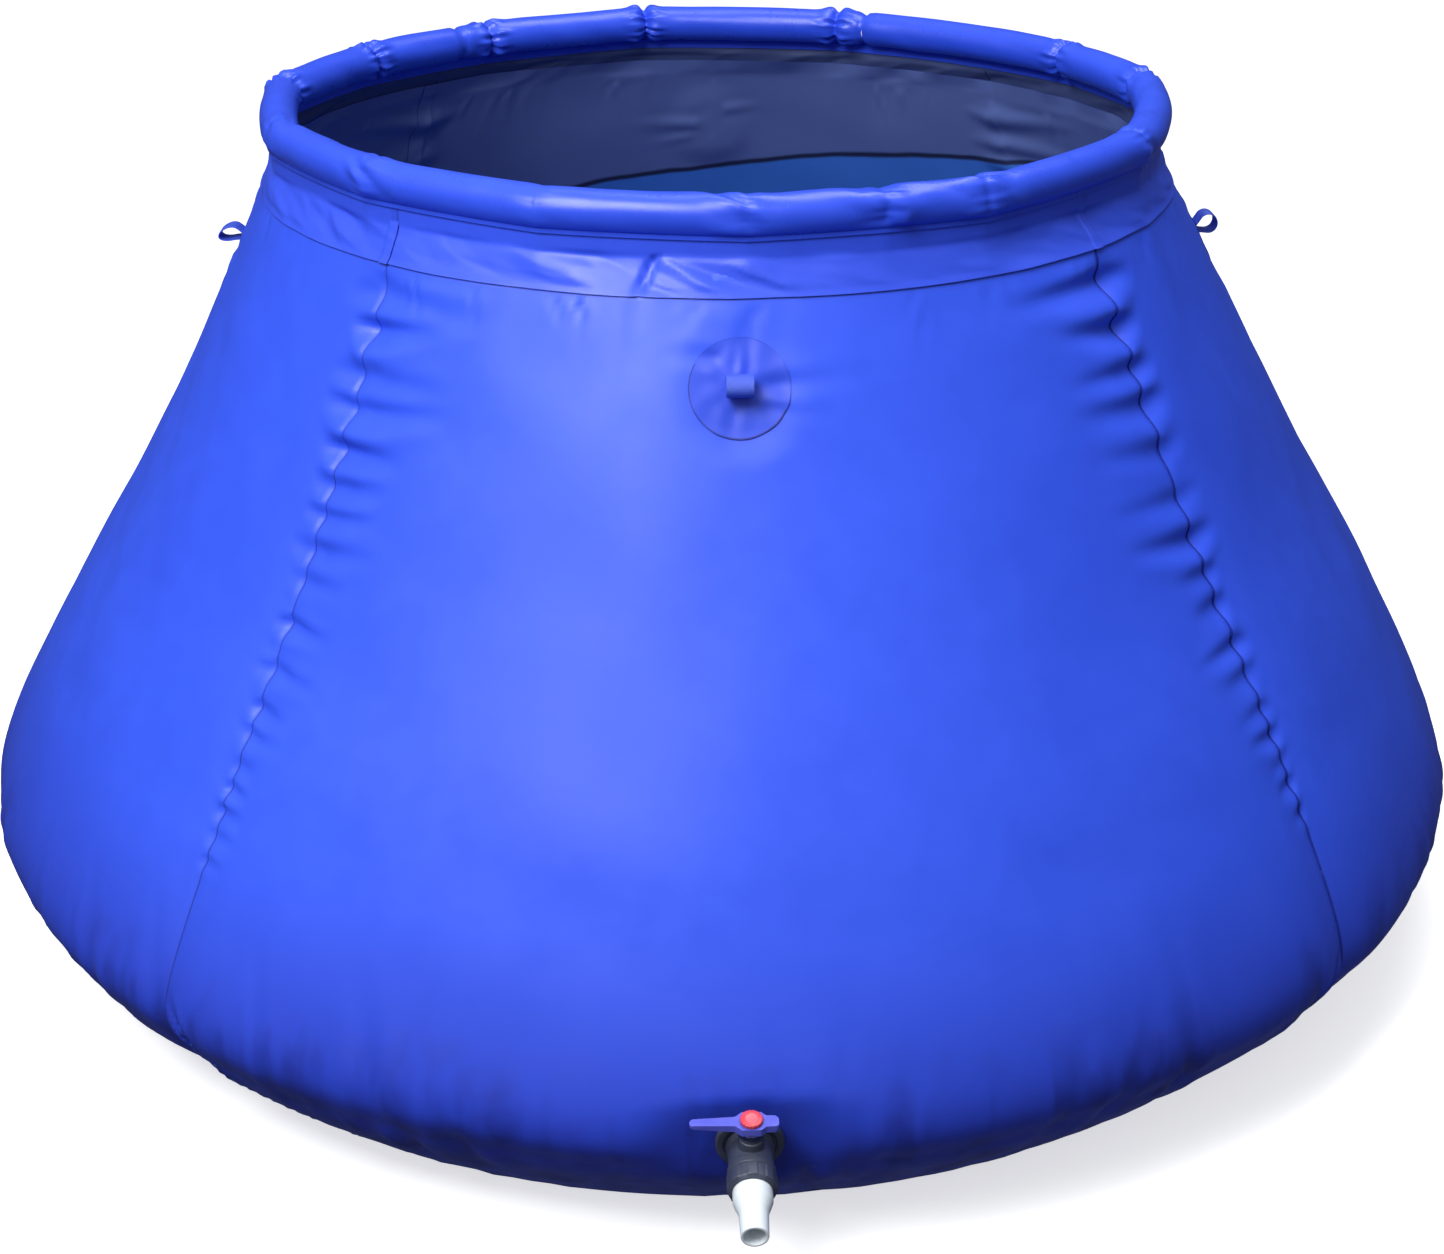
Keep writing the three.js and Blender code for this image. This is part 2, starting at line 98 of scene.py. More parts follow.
# At each joint of the foam logs: depth of the pinch as a share of the sleeve's radius, height of the
# crumples beside it, and how far the joint stands out and up from the ring, in metres.
JOINT_PINCH = np.array([24, 5, 5, 2, 4, 6, 7, 8, 17, 22, 28, 30, 28, 30]) / 100
JOINT_CRUMPLE = np.array([3, 4, 6, 1, 6, 6, 6, 4, 2, 2, 2, 2, 2, 2]) / 1000
JOINT_PUSH = np.array([13, 4, 0, 0, 0, 0, 0, 0, 13, 8, 0, 0, 0, 0]) / 1000
JOINT_LIFT = np.array([1, -1, 1, 0, -1, 1, -2, 1, 2, 1, 1, 2, -1, 1]) / 1000
TUCKS = [(155.5, 0.24), (222, 0.26)]  # azimuth and depth of pinches away from the joints

PATCH_RADIUS = 0.052
LOOP = {"width": 0.028, "thickness": 0.0018, "head": 0.0112, "height": 0.0178, "foot": 0.0028}

joints = {joint["name"]: joint for joint in frame["joints"]}
ACROSS = Vector((1, 0, 0))  # the valve's third direction
STEM_AXIS = Vector(joints["lever_turn"]["axis"]).normalized()
FLOW_AXIS = ACROSS.cross(STEM_AXIS)
BALL_ALONG = 29  # mm along the flow axis, from the wall's outer face to the stem

# ---------------------------------------------------------------- helpers


def around(azimuth, radius, height):
    """The point at an azimuth, radius and height; arrays give arrays of points."""
    angle = np.radians(azimuth)
    return np.stack(np.broadcast_arrays(radius * np.sin(angle), -radius * np.cos(angle), height), -1)


def degrees_past(azimuth, at):
    return (azimuth - at + 180) % 360 - 180


def smooth(share):
    """0 below 0, 1 above 1, and a smooth step between."""
    held = np.clip(share, 0, 1)
    return held * held * (3 - 2 * held)


def bell(share):
    """1 at 0, falling away on both sides."""
    return np.exp(-(share**2))


def link(thing):
    bpy.context.scene.collection.objects.link(thing)
    return thing


# ---------------------------------------------------------------- camera

CAMERA_DISTANCE = 2.78  # from the tank's axis, level
CAMERA_AZIMUTH = -1.7
CAMERA_HEIGHT = 1.607
CAMERA_PITCH = 25.06  # below level
CAMERA_LENS, CAMERA_SHIFT = 56.4, -0.004


def add_camera():
    data = bpy.data.cameras.new("camera")
    data.lens, data.shift_y = CAMERA_LENS, CAMERA_SHIFT
    camera = link(bpy.data.objects.new("camera", data))
    camera.location = around(CAMERA_AZIMUTH, CAMERA_DISTANCE, CAMERA_HEIGHT)
    camera.rotation_euler = (math.radians(90 - CAMERA_PITCH), 0, math.radians(CAMERA_AZIMUTH))
    bpy.context.scene.camera = camera


add_camera()

# ---------------------------------------------------------------- materials


class Nodes:
    """Adds nodes to the tree of a material or of the world."""

    def __init__(self, tree):
        self.tree = tree

    def put(self, socket, value):
        if isinstance(value, bpy.types.NodeSocket):
            self.tree.links.new(value, socket)
        elif socket.type == "RGBA":
            socket.default_value = (*value, 1)
        else:
            socket.default_value = value

    def add(self, kind, inputs, **settings):
        node = self.tree.nodes.new(f"ShaderNode{kind}")
        for name, value in settings.items():
            setattr(node, name, value)
        for name, value in inputs.items():
            self.put(node.inputs[name], value)
        return node

    def calculate(self, operation, *values):
        return self.add("Math", dict(enumerate(values)), operation=operation).outputs[0]

    def between(self, share, low, high, start=0.3, end=0.7):
        """low to high as share goes from start to end."""
        inputs = {"Value": share, "From Min": start, "From Max": end, "To Min": low, "To Max": high}
        return self.add("MapRange", inputs).outputs["Result"]

    def tint(self, share, low, high):
        """A colour between two, mixed by share."""
        mix = self.add("Mix", {}, data_type="RGBA")
        for number, value in ((0, share), (6, low), (7, high)):
            self.put(mix.inputs[number], value)
        return mix.outputs[2]


class Look(Nodes):
    """A material made of nodes."""

    def __init__(self, name, roughness=0.5, metallic=0.0, specular=0.5):
        self.material = bpy.data.materials.new(name)
        self.material.use_nodes = True
        super().__init__(self.material.node_tree)
        self.shader = self.tree.nodes["Principled BSDF"].inputs
        self.shader["Roughness"].default_value = roughness
        self.shader["Metallic"].default_value = metallic
        self.shader["Specular IOR Level"].default_value = specular

    def paint(self, colour, roughness=None):
        self.put(self.shader["Base Color"], colour)
        if roughness is not None:
            self.put(self.shader["Roughness"], roughness)

    def place(self, axis=None):
        """Where a point is in the object's own frame, or one of its coordinates."""
        place = self.add("TexCoord", {}).outputs["Object"]
        return self.add("SeparateXYZ", {"Vector": place}).outputs[axis] if axis else place

    def noise(self, scale, detail=2.0, roughness=0.5, stretch=1.0):
        """Noise whose features are stretch times as tall as they are wide."""
        place = self.place()
        if stretch != 1:
            flat = {0: place, 1: (1, 1, 1 / stretch)}
            place = self.add("VectorMath", flat, operation="MULTIPLY").outputs["Vector"]
        inputs = {"Vector": place, "Scale": scale, "Detail": detail, "Roughness": roughness}
        return self.add("TexNoise", inputs).outputs["Fac"]

    def bumps(self, *layers):
        """Bump from (height socket, strength, distance) layers, one upon another."""
        normal = None
        for height, strength, distance in layers:
            inputs = {"Height": height, "Strength": strength, "Distance": distance}
            if normal is not None:
                inputs["Normal"] = normal
            normal = self.add("Bump", inputs).outputs["Normal"]
        self.put(self.shader["Normal"], normal)

    def weave(self, period):
        """Height of a plain weave's threads, from the cloth's own warp and weft directions."""
        axes = self.add("SeparateXYZ", {"Vector": self.add("UVMap", {}, uv_map="cloth").outputs["UV"]})
        turns = [self.calculate("MULTIPLY", axes.outputs[axis], 2 * math.pi / period) for axis in "XY"]
        return self.calculate("MULTIPLY", *(self.calculate("SINE", turn) for turn in turns))

    def coated(self, strength):
        """The faint weave and the unevenness of coated fabric."""
        self.bumps((self.weave(0.0016), strength, 0.00012), (self.noise(9.0, 3.0), 0.12, 0.004))


def fabric_look(name, low, high, roughness, foot=None):
    """PVC-coated tarpaulin: an even colour with slight mottling, a soft gloss and a faint weave. foot
    is the painted shade near the floor, with darker upright streaks as painted shadows of creases."""
    look = Look(name, specular=0.45)
    fine = look.noise(26.0, 4.0, 0.6)
    shade = look.tint(look.between(look.noise(2.4, 3.0), 0.0, 1.0), low, high)
    # Painted shade: darker towards the floor, and darker upright streaks low down as painted shadows of
    # creases.
    if foot:
        height = look.place("Z")
        shade = look.tint(look.between(height, 0.0, 1.0, 0.09, 0.36), foot, shade)
        crease_shadow_streaks = look.between(look.noise(19.0, 2.0, stretch=7), 0.0, 1.0, 0.48, 0.58)
        crease_shadow_streaks = look.calculate("MULTIPLY", crease_shadow_streaks, look.between(height, 0.8, 0.0, 0.13, 0.26))
        shade = look.tint(crease_shadow_streaks, shade, [0.55 * part for part in foot])
    shade = look.tint(look.between(fine, 0.35, 0.0), shade, [0.90 * part for part in low])
    look.paint(shade, look.between(fine, roughness - 0.05, roughness + 0.06))
    look.coated(0.25)
    return look.material


def lining_look():
    """Lining: slate painted lighter to offset the shade inside the wall, and teal below a slanting dark
    line.
    """
    line = 0.777  # height of the dark line between the slate and the teal, at the middle
    look = Look("lining", roughness=0.75, specular=0.25)
    slant = look.calculate("MULTIPLY", look.place("X"), -0.127)
    level = look.calculate("ADD", look.place("Z"), slant)
    level = look.calculate("ADD", level, look.between(look.noise(7.0), -0.004, 0.004))
    # Painted light: the slate is much lighter than lining_top, the band's side of the same cloth, to
    # offset the shade inside the wall.
    slate = look.tint(look.noise(5.0, 4.0), (0.085, 0.130, 0.36), (0.115, 0.170, 0.43))
    teal = look.tint(look.noise(8.0, 3.0), (0.035, 0.16, 0.60), (0.055, 0.20, 0.72))
    shade = look.tint(look.between(level, 0.0, 1.0, line - 0.004, line + 0.001), teal, slate)
    edge = look.calculate("ABSOLUTE", look.calculate("SUBTRACT", level, line))
    look.paint(look.tint(look.between(edge, 1.0, 0.0, 0.002, 0.006), shade, (0.012, 0.020, 0.07)))
    look.coated(0.2)
    return look.material


def moulded_look(name, low, high, roughness, grain=160.0):
    """Moulded plastic or rubber: a fine grain, with colour and gloss that vary a little."""
    look = Look(name)
    blotches = look.noise(38.0, 3.0)
    shade = look.tint(look.between(blotches, 0.0, 1.0), low, high)
    look.paint(shade, look.between(blotches, roughness - 0.06, roughness + 0.06))
    look.bumps((look.noise(grain * 4, 2.0), 0.15, 0.0002))
    return look.material


def webbing_look(name, low, high):
    """Woven strap: a coarse weave."""
    look = Look(name, specular=0.6)
    threads = look.weave(0.0024)
    shade = look.tint(look.between(threads, 0.0, 1.0, -1.0, 1.0), low, high)
    look.paint(shade, look.between(look.noise(300.0), 0.32, 0.45))
    look.bumps((threads, 0.7, 0.0004))
    return look.material


def metal_look(name, colour, roughness):
    look = Look(name, metallic=1.0)
    scratches = look.noise(420.0, 4.0, 0.7)
    shade = look.tint(scratches, colour, (0.7, 0.7, 0.72))
    look.paint(shade, look.between(scratches, roughness - 0.06, roughness + 0.08))
    return look.material


# The colour of the painted shade near the floor.
FOOT_SHADE_COLOUR = (0.018, 0.026, 0.36)

LOOKS = {
    "blue": fabric_look("blue_fabric", (0.029, 0.088, 0.80), (0.036, 0.106, 0.88), 0.40, FOOT_SHADE_COLOUR),
    "band": fabric_look("band_fabric", (0.032, 0.082, 0.74), (0.040, 0.102, 0.84), 0.39),
    "collar": fabric_look("collar_fabric", (0.026, 0.074, 0.70), (0.034, 0.094, 0.80), 0.30),
    "patch": fabric_look("patch_fabric", (0.025, 0.068, 0.66), (0.031, 0.084, 0.74), 0.42),
    "lining": lining_look(),
    # lining_top is the band's inner face, a little darker than the wall's lining, which is painted lighter
    # to offset its shade.
    "lining_top": fabric_look("lining_top", (0.040, 0.062, 0.175), (0.050, 0.076, 0.205), 0.65),
    "lining_low": fabric_look("lining_teal", (0.020, 0.085, 0.33), (0.028, 0.105, 0.40), 0.50),
    # weld: the darker cut edges and weld lines of the fabric. At the wall's seams it is partly a painted
    # shadow under the lap's edge, and on the patches' rims it is a painted shadow line.
    "weld": fabric_look("weld_edge_and_shadow_line", (0.010, 0.026, 0.28), (0.016, 0.036, 0.36), 0.50),
    "webbing": webbing_look("webbing", (0.030, 0.070, 0.55), (0.060, 0.130, 0.75)),
    "grey": moulded_look("grey_pvc", (0.042, 0.050, 0.082), (0.060, 0.070, 0.108), 0.42),
    "handle": moulded_look("handle_blue", (0.085, 0.100, 0.58), (0.110, 0.125, 0.68), 0.36),
    # The lever's skirt: the handle's plastic painted near black as painted shade.
    "skirt": moulded_look("handle_skirt_painted_shade", (0.006, 0.008, 0.060), (0.010, 0.012, 0.085), 0.42),
    "red": moulded_look("cap_red", (0.62, 0.045, 0.075), (0.74, 0.065, 0.10), 0.34),
    "red_light": moulded_look("cap_centre", (0.78, 0.12, 0.15), (0.86, 0.17, 0.20), 0.38),
    "white": moulded_look("white_pvc", (0.76, 0.84, 0.88), (0.84, 0.90, 0.93), 0.34),
    "rubber": moulded_look("rubber", (0.010, 0.010, 0.012), (0.018, 0.018, 0.020), 0.75),
    "seal": moulded_look("seal_plastic", (0.80, 0.80, 0.76), (0.86, 0.86, 0.83), 0.30),
    "foam": moulded_look("foam", (0.76, 0.78, 0.80), (0.84, 0.85, 0.87), 0.85, grain=60.0),
    "steel": metal_look("steel", (0.48, 0.49, 0.50), 0.30),
}

# ---------------------------------------------------------------- relief of the cloth


def crease(across):
    """Section of a crease, -1 deep at 0, with a low ridge on each side."""
    return -(1 - across**2) * np.exp(-(across**2) / 2)


def relief(seed, points, length, count=14):
    """Smooth random relief of about -1 to 1 at points in space, with features of this length."""
    rng = np.random.default_rng(seed)
    directions = rng.normal(size=(count, 3))
    directions /= np.linalg.norm(directions, axis=1, keepdims=True)
    turns = 2 * math.pi / (length * rng.uniform(0.7, 1.6, count))
    phases = rng.uniform(0, 2 * math.pi, count)
    waves = np.cos((points @ directions.T) * turns + phases)
    return waves.sum(-1) * math.sqrt(0.5 / count)


def facets(seed, azimuth, height, count, step):
    """Flat triangles between random heights of -1 to 1: count of them round the tank, step tall."""
    rng = np.random.default_rng(seed)
    heights = rng.uniform(-1, 1, (12, count))
    up = height / step + 0.35 * np.sin(np.radians(azimuth * 7 + seed))
    turn = azimuth / 360 * count + 0.45 * up + 0.3 * np.sin(up * 2.1 + seed)
    row, column = np.floor(up).astype(int), np.floor(turn).astype(int)
    x, y = turn - column, up - row
    left, right = column % count, (column + 1) % count
    low, high = row % 12, (row + 1) % 12
    a, b, c, d = heights[low, left], heights[low, right], heights[high, left], heights[high, right]
    return np.where(x + y < 1, a + x * (b - a) + y * (c - a), d + (1 - x) * (c - d) + (1 - y) * (b - d))


def catmull_rom(points, steps=40):
    """Points of a smooth curve through some points."""
    line = np.array([points[0], *points, points[-1]], float)
    t = np.linspace(0, 1, steps, endpoint=False)[:, None]
    spans = [
        0.5 * (2 * b + (c - a) * t + (2 * a - 5 * b + 4 * c - d) * t**2 + (3 * b - a - 3 * c + d) * t**3)
        for a, b, c, d in zip(line, line[1:], line[2:], line[3:])
    ]
    return np.vstack([*spans, line[-1:]])


OUTLINE = catmull_rom(WALL_RINGS)
LEAN = catmull_rom(SLUMP)


def outline_radius(height):
    return np.interp(height, OUTLINE[:, 1], OUTLINE[:, 0])


def lean(azimuth, height):
    """Extra radius that moves a level ring of the tank sideways."""
    return np.sin(np.radians(azimuth)) * np.interp(height, LEAN[:, 1], LEAN[:, 0])


def outline_length(low, high):
    """Length of the wall's outline between two heights."""
    levels = np.linspace(low, high, 60)
    return float(np.hypot(np.diff(levels), np.diff(outline_radius(levels))).sum())


class Facet:
    """A flat place on a panel's middle, between two heights of the wall."""

    def __init__(self, low, high):
        ends = outline_radius(np.array([low, high])) * math.cos(FACET_HALF)
        self.radius, self.height = ends.mean(), (low + high) / 2
        self.slope = (ends[1] - ends[0]) / (high - low)
        self.stretch = math.hypot(1, self.slope)

    def plane(self, turn, height):
        """Radius of the plane at an angle in radians from the panel's middle."""
        return (self.radius + self.slope * (height - self.height)) / np.cos(turn)

    def share(self, turn, radius, height, inner, outer):
        """1 on the flat place, 0 away from it."""
        distance = np.hypot(radius * np.sin(turn), (height - self.height) * self.stretch)
        return 1 - smooth((distance - inner) / (outer - inner))

    def point(self, azimuth, x, y, z):
        """A point x along, y up and z out of the flat place."""
        out = self.radius + (y * self.slope + z) / self.stretch
        height = self.height + (y - z * self.slope) / self.stretch
        return around(azimuth + np.degrees(np.arctan2(x, out)), np.hypot(x, out), height)


VALVE_PLACE = Facet(*VALVE_FACET)
PATCH_PLACE = Facet(*PATCH_FACET)


def from_seam(azimuth):
    """Number of the nearest seam, and degrees past it."""
    past = degrees_past(azimuth[..., None], np.array(SEAMS[:4]))
    nearest = np.abs(past).argmin(-1)
    return nearest, np.take_along_axis(past, nearest[..., None], -1)[..., 0]


def from_side(azimuth):
    """Degrees past the nearest loop patch."""
    return (azimuth + 45) % 90 - 45


def seam_folds(seed, strength):
    """Short folds that the shrunken weld pulls into the panels: height, depth, reach, width, tilt."""
    rng = np.random.default_rng(seed)
    foot, top = 0.33, 0.895
    folds, height = [], top
    while height > foot:
        rise = (height - foot) / (top - foot)
        depth = (0.0035 + 0.0065 * rise) * rng.uniform(0.45, 1.2) * strength
        reach = (0.035 + 0.135 * rise) * rng.uniform(0.60, 1.25)
        width = (0.0075 + 0.0085 * rise) * rng.uniform(0.8, 1.2)
        folds.append((height, depth, reach, width, rng.uniform(-0.02, 0.16)))
        height -= (0.024 + 0.020 * rise) * rng.uniform(0.7, 1.35)
    return folds


FOLDS = [seam_folds(*kind) for kind in ((11, 1.0), (23, 0.9), (37, 0.45), (41, 0.45))]
FRONT_SIDE = (1, -1, -1, 1)  # which side of each seam has the longer folds
DART_SIDE = np.array([1, -1, 1, -1])  # and which side of its foot is tucked


def edge_creases(seed, count, depth, width, length):
    """Upright creases that start at an edge: azimuth, depth, half width, length and lean of each."""
    rng = np.random.default_rng(seed)
    ranges = ((0, 360), depth, width, length, (-0.35, 0.35))
    return [[rng.uniform(*limits) for limits in ranges] for _ in range(count)]


FOOT_CREASES = edge_creases(5, 84, (0.0040, 0.0095), (0.009, 0.016), (0.20, 0.34))
NECK_CREASES = edge_creases(6, 70, (0.0008, 0.0030), (0.004, 0.010), (0.02, 0.08))
# Creases about a loop patch, in its own plane: start, direction, length, depth and half width.
PATCH_CREASES = [
    ((0.016, 0.002), 2, 0.125, 0.0026, 0.011),
    ((0.024, -0.018), -14, 0.080, 0.0014, 0.008),
    ((-0.020, 0.030), 172, 0.070, 0.0018, 0.009),
    ((0.001, 0.014), 84, 0.050, -0.0012, 0.005),
    ((-0.006, -0.020), -98, 0.060, 0.0010, 0.008),
]


def edge_relief(creases, azimuth, radius, distance):
    """The creases from an edge, at a distance from that edge."""
    total = np.zeros(np.broadcast(azimuth, radius).shape)
    for at, depth, width, length, slant in creases:
        arc = np.radians(degrees_past(azimuth, at)) * radius - slant * distance
        total += depth * crease(arc / width) * np.clip(1 - distance / length, 0, 1) ** 1.2
    return total


def fold_relief(arc, seam, height):
    """The folds at each seam, longer on the side that FRONT_SIDE gives."""
    total = np.zeros(arc.shape)
    side = np.abs(arc)
    for number, folds in enumerate(FOLDS):
        here = seam == number
        for at, depth, reach, width, tilt in folds:
            share = np.clip(side / (reach * np.where(arc * FRONT_SIDE[number] > 0, 1.0, 0.36)), 0, 1)
            across = (height - at - tilt * side) / (width * (1 - 0.35 * share))
            total += here * depth * crease(across) * (1 - share**1.5) ** 1.5
    return total


def patch_relief(turn, radius, height):
    x, y = radius * np.sin(turn), (height - PATCH_PLACE.height) * PATCH_PLACE.stretch
    total = np.zeros(x.shape)
    for (x0, y0), degrees, length, depth, width in PATCH_CREASES:
        c, s = math.cos(math.radians(degrees)), math.sin(math.radians(degrees))
        along, across = (x - x0) * c + (y - y0) * s, (y - y0) * c - (x - x0) * s
        fade = smooth(along / 0.014 + 0.5) * (1 - smooth(along / length))
        total += depth * crease(across / width) * fade
    return total


def joint_spans(azimuth):
    """For each azimuth: number of the foam log there, and how far along it, from -1 to 1."""
    turn = (np.asarray(azimuth, float) - LOG_ENDS[0]) % 360 + LOG_ENDS[0]
    number = np.clip(np.searchsorted(LOG_ENDS, turn, side="right") - 1, 0, len(FOAM_JOINTS) - 1)
    start, end = LOG_ENDS[number], LOG_ENDS[number + 1]
    return number, 2 * (turn - start) / (end - start) - 1, np.radians(end - start) / 2


def along_log(values, number, along):
    """A joint's value at each end of a foam log, and in proportion between them."""
    end = values[(number + 1) % len(FOAM_JOINTS)]
    return values[number] + (end - values[number]) * (along + 1) / 2


def collar_radius(azimuth):
    """Radius of the float's middle: each log bends less than the ring, so the joints stand out."""
    number, along, half = joint_spans(azimuth)
    straight = np.minimum(0.60 * FLOAT_RADIUS * half**2 / 2, 0.0090)
    push = along_log(JOINT_PUSH, number, along)
    return FLOAT_RADIUS + 0.0035 + push - straight * (1 - along**2) + lean(azimuth, FLOAT_HEIGHT)


def band_radius(azimuth, height):
    """Radius of the neck band's outer face: crumpled between its foot and the sleeve's lips."""
    top = collar_radius(azimuth) + BAND_SIDE + FABRIC / 2
    foot = NECK_RADIUS + FABRIC + SKIN_GAP + lean(azimuth, NECK_HEIGHT)
    level = height - NECK_HEIGHT
    base = foot + (top - foot) * np.clip(level / (BAND_KNEE - NECK_HEIGHT), -0.2, 1)
    rough = 0.0055 * facets(3, azimuth, level + 0.03, 46, 0.030)
    rough += 0.0022 * facets(8, azimuth, level + 0.03, 110, 0.016)
    arc = np.radians(azimuth - BAND_CREASE) * NECK_RADIUS - 0.4 * level
    rough -= 0.0060 * bell(arc / 0.005)
    fade = 0.35 + 0.65 * smooth(level / 0.014)
    return base + rough * fade * (1 - smooth((height - 0.961) / 0.010))


def wall_radius(azimuth, height):
    """Radius of the wall's outer face."""
    seam, past = from_seam(azimuth)
    radius = outline_radius(height)
    arc = np.radians(past) * radius
    rise = np.clip(height / NECK_HEIGHT, 0, 1)
    bulge = PANEL_BULGE * np.sin(math.pi * rise) ** 0.8 * np.cos(np.radians(4 * past))
    radius = radius - bulge + lean(azimuth, height)
    turn = np.radians(from_side(azimuth))
    flat = PATCH_PLACE.share(turn, radius, height, 0.040, 0.085)
    radius = radius + flat * (PATCH_PLACE.plane(turn, height) - radius)

    # Broad unevenness between the seams.
    away = 1 - bell(arc / 0.09)
    body = smooth(rise / 0.15) * (1 - smooth((rise - 0.90) / 0.10))
    place = around(azimuth, 0.8, height * 0.45)
    rough = 0.0030 * relief(1, place, 0.36) + 0.0012 * relief(2, around(azimuth, 0.8, height), 0.13)
    rough = rough * away * body
    # Folds, puckers and a groove at the seams.
    rough += fold_relief(arc, seam, height)
    pucker = smooth((height - 0.30) / 0.1) * bell(arc / 0.020)
    rough += 0.0018 * facets(9, azimuth, height, 150, 0.021) * pucker
    rough -= 0.0045 * bell(arc / 0.030) + 0.0015 * bell(arc / 0.006)
    rough -= 0.0150 * bell(arc / 0.050) * (1 - smooth(height / 0.13))
    # Upright creases from the floor, then the darts at the seams' feet.
    off_floor = 0.2 + 0.8 * smooth(height / 0.14)
    rough += edge_relief(FOOT_CREASES, azimuth, radius, height) * off_floor
    dart = crease((np.abs(arc) - 0.6 * (0.21 - height)) / 0.007)
    rough += 0.0060 * dart * smooth((0.21 - height) / 0.05) * (arc * DART_SIDE[seam] > 0)
    # Creases about the loop patches, and down from the neck.
    rough += patch_relief(turn, radius, height)
    below_neck = np.maximum(NECK_HEIGHT - height, 0)
    rough += edge_relief(NECK_CREASES, azimuth, radius, below_neck)

    radius = radius + rough * (1 - smooth((height - NECK_HEIGHT + 0.018) / 0.014))
    # Flat behind the valve, and drawn to the neck band at the top.
    valve = VALVE_PLACE.share(turn, radius, height, 0.037, 0.150) * (np.cos(np.radians(azimuth)) > 0.8)
    pinned = VALVE_PLACE.share(turn, radius, height, 0.037, 0.060)
    dent = VALVE_PLACE.plane(turn, height) - radius
    radius = radius + valve * (dent + (1 - pinned) * (np.minimum(dent, 0.002) - dent))
    behind_band = band_radius(azimuth, np.maximum(height, NECK_HEIGHT)) - FABRIC - SKIN_GAP
    pull = behind_band - NECK_RADIUS - lean(azimuth, NECK_HEIGHT)
    radius = radius + pull * smooth((height - 0.82) / (NECK_HEIGHT - 0.82))
    return np.where(height < NECK_HEIGHT, radius, behind_band)


def seam_shift(azimuth, height):
    """Degrees by which the folds push the weld and the cloth beside it sideways."""
    seam, past = from_seam(azimuth)
    radius = outline_radius(height)
    push = np.zeros(np.broadcast(azimuth, height).shape)
    for number, folds in enumerate(FOLDS):
        for at, depth, _, width, _ in folds:
            push -= (seam == number) * FRONT_SIDE[number] * 0.12 * depth * crease((height - at) / width)
    fade = bell(np.radians(past) * radius / 0.035)
    return np.degrees(push * fade / radius)


# ---------------------------------------------------------------- meshes

SHARP_ANGLE = math.radians(38)  # edges of moulded parts sharper than this show as edges


def grid_normals(points, wrap=False):
    if wrap:
        along = np.roll(points, -1, 1) - np.roll(points, 1, 1)
    else:
        along = np.gradient(points, axis=1)
    normals = np.cross(along, np.gradient(points, axis=0))
    return normals / np.maximum(np.linalg.norm(normals, axis=-1, keepdims=True), 1e-12)


def grid_quads(rows, columns, wrap):
    across = np.arange(columns if wrap else columns - 1)
    row, column = np.meshgrid(np.arange(rows - 1), across, indexing="ij")
    here, over = row * columns + column, row * columns + (column + 1) % columns
    return np.stack([here, over, over + columns, here + columns], -1).reshape(-1, 4)


def border(rows, columns, wrap, capped):
    """The grid's open edges, each going the way that its own face goes."""
    across = np.arange(columns if wrap else columns - 1)
    over = (across + 1) % columns
    last = (rows - 1) * columns
    edges = [np.stack([across, over], 1)]
    if not capped:
        edges.append(np.stack([last + over, last + across], 1))
    if not wrap:
        up = np.arange(rows - 1) * columns
        edges.append(np.stack([up + columns - 1, up + 2 * columns - 1], 1))
        edges.append(np.stack([up + columns, up], 1))
    return np.concatenate(edges)


def cloth(name, outer, inner, looks, slots=None, wrap=False, capped=False, normals=None, uv=None):
    """A closed sheet between two grids of points, rows by columns. looks are the materials of the
    outer face, the inner face and the cut edge, then any that slots names for the outer face.
    slots is the material number of each outer and each inner face. capped closes the last row."""
    rows, columns = outer.shape[:2]
    count = rows * columns
    quads = grid_quads(rows, columns, wrap)
    edge = border(rows, columns, wrap, capped)
    rim = np.stack([edge[:, 1], edge[:, 0], edge[:, 0] + count, edge[:, 1] + count], 1)
    faces = np.concatenate([quads, quads[:, ::-1] + count, rim]).tolist()
    kinds = np.concatenate([
        np.zeros(len(quads), int) if slots is None else slots[0].ravel(),
        np.ones(len(quads), int) if slots is None else slots[1].ravel(),
        np.full(len(rim), 2),
    ])
    if capped:
        last = np.arange(count - columns, count)
        faces += [last.tolist(), (last[::-1] + count).tolist()]
        kinds = np.concatenate([kinds, [0, 1]])
    mesh = bpy.data.meshes.new(name)
    mesh.from_pydata(np.concatenate([outer, inner]).reshape(-1, 3).tolist(), [], faces)
    for look in looks:
        mesh.materials.append(LOOKS[look])
    mesh.polygons.foreach_set("material_index", kinds.astype(np.int32))
    mesh.polygons.foreach_set("use_smooth", np.ones(len(kinds), bool))
    corner = np.empty(len(mesh.loops), np.int32)
    mesh.loops.foreach_get("vertex_index", corner)
    if uv is not None:
        layer = mesh.uv_layers.new(name="cloth")
        layer.data.foreach_set("uv", uv.reshape(-1, 2)[corner % count].astype(np.float32).ravel())
    if normals is None:
        normals = grid_normals(outer, wrap)
    shown = np.concatenate([normals.reshape(-1, 3), -normals.reshape(-1, 3)])[corner]
    shown[8 * len(quads) :] = 0
    mesh.normals_split_custom_set(shown.tolist())
    return link(bpy.data.objects.new(name, mesh))


def cloth_uv(points):
    """Distances along the rows and up the columns of a grid, in metres."""
    along = np.linalg.norm(np.diff(points, axis=1), axis=-1).mean(0)
    up = np.linalg.norm(np.diff(points, axis=0), axis=-1).mean(1)
    u, v = np.concatenate([[0], np.cumsum(along)]), np.concatenate([[0], np.cumsum(up)])
    return np.stack(np.meshgrid(u, v), -1)


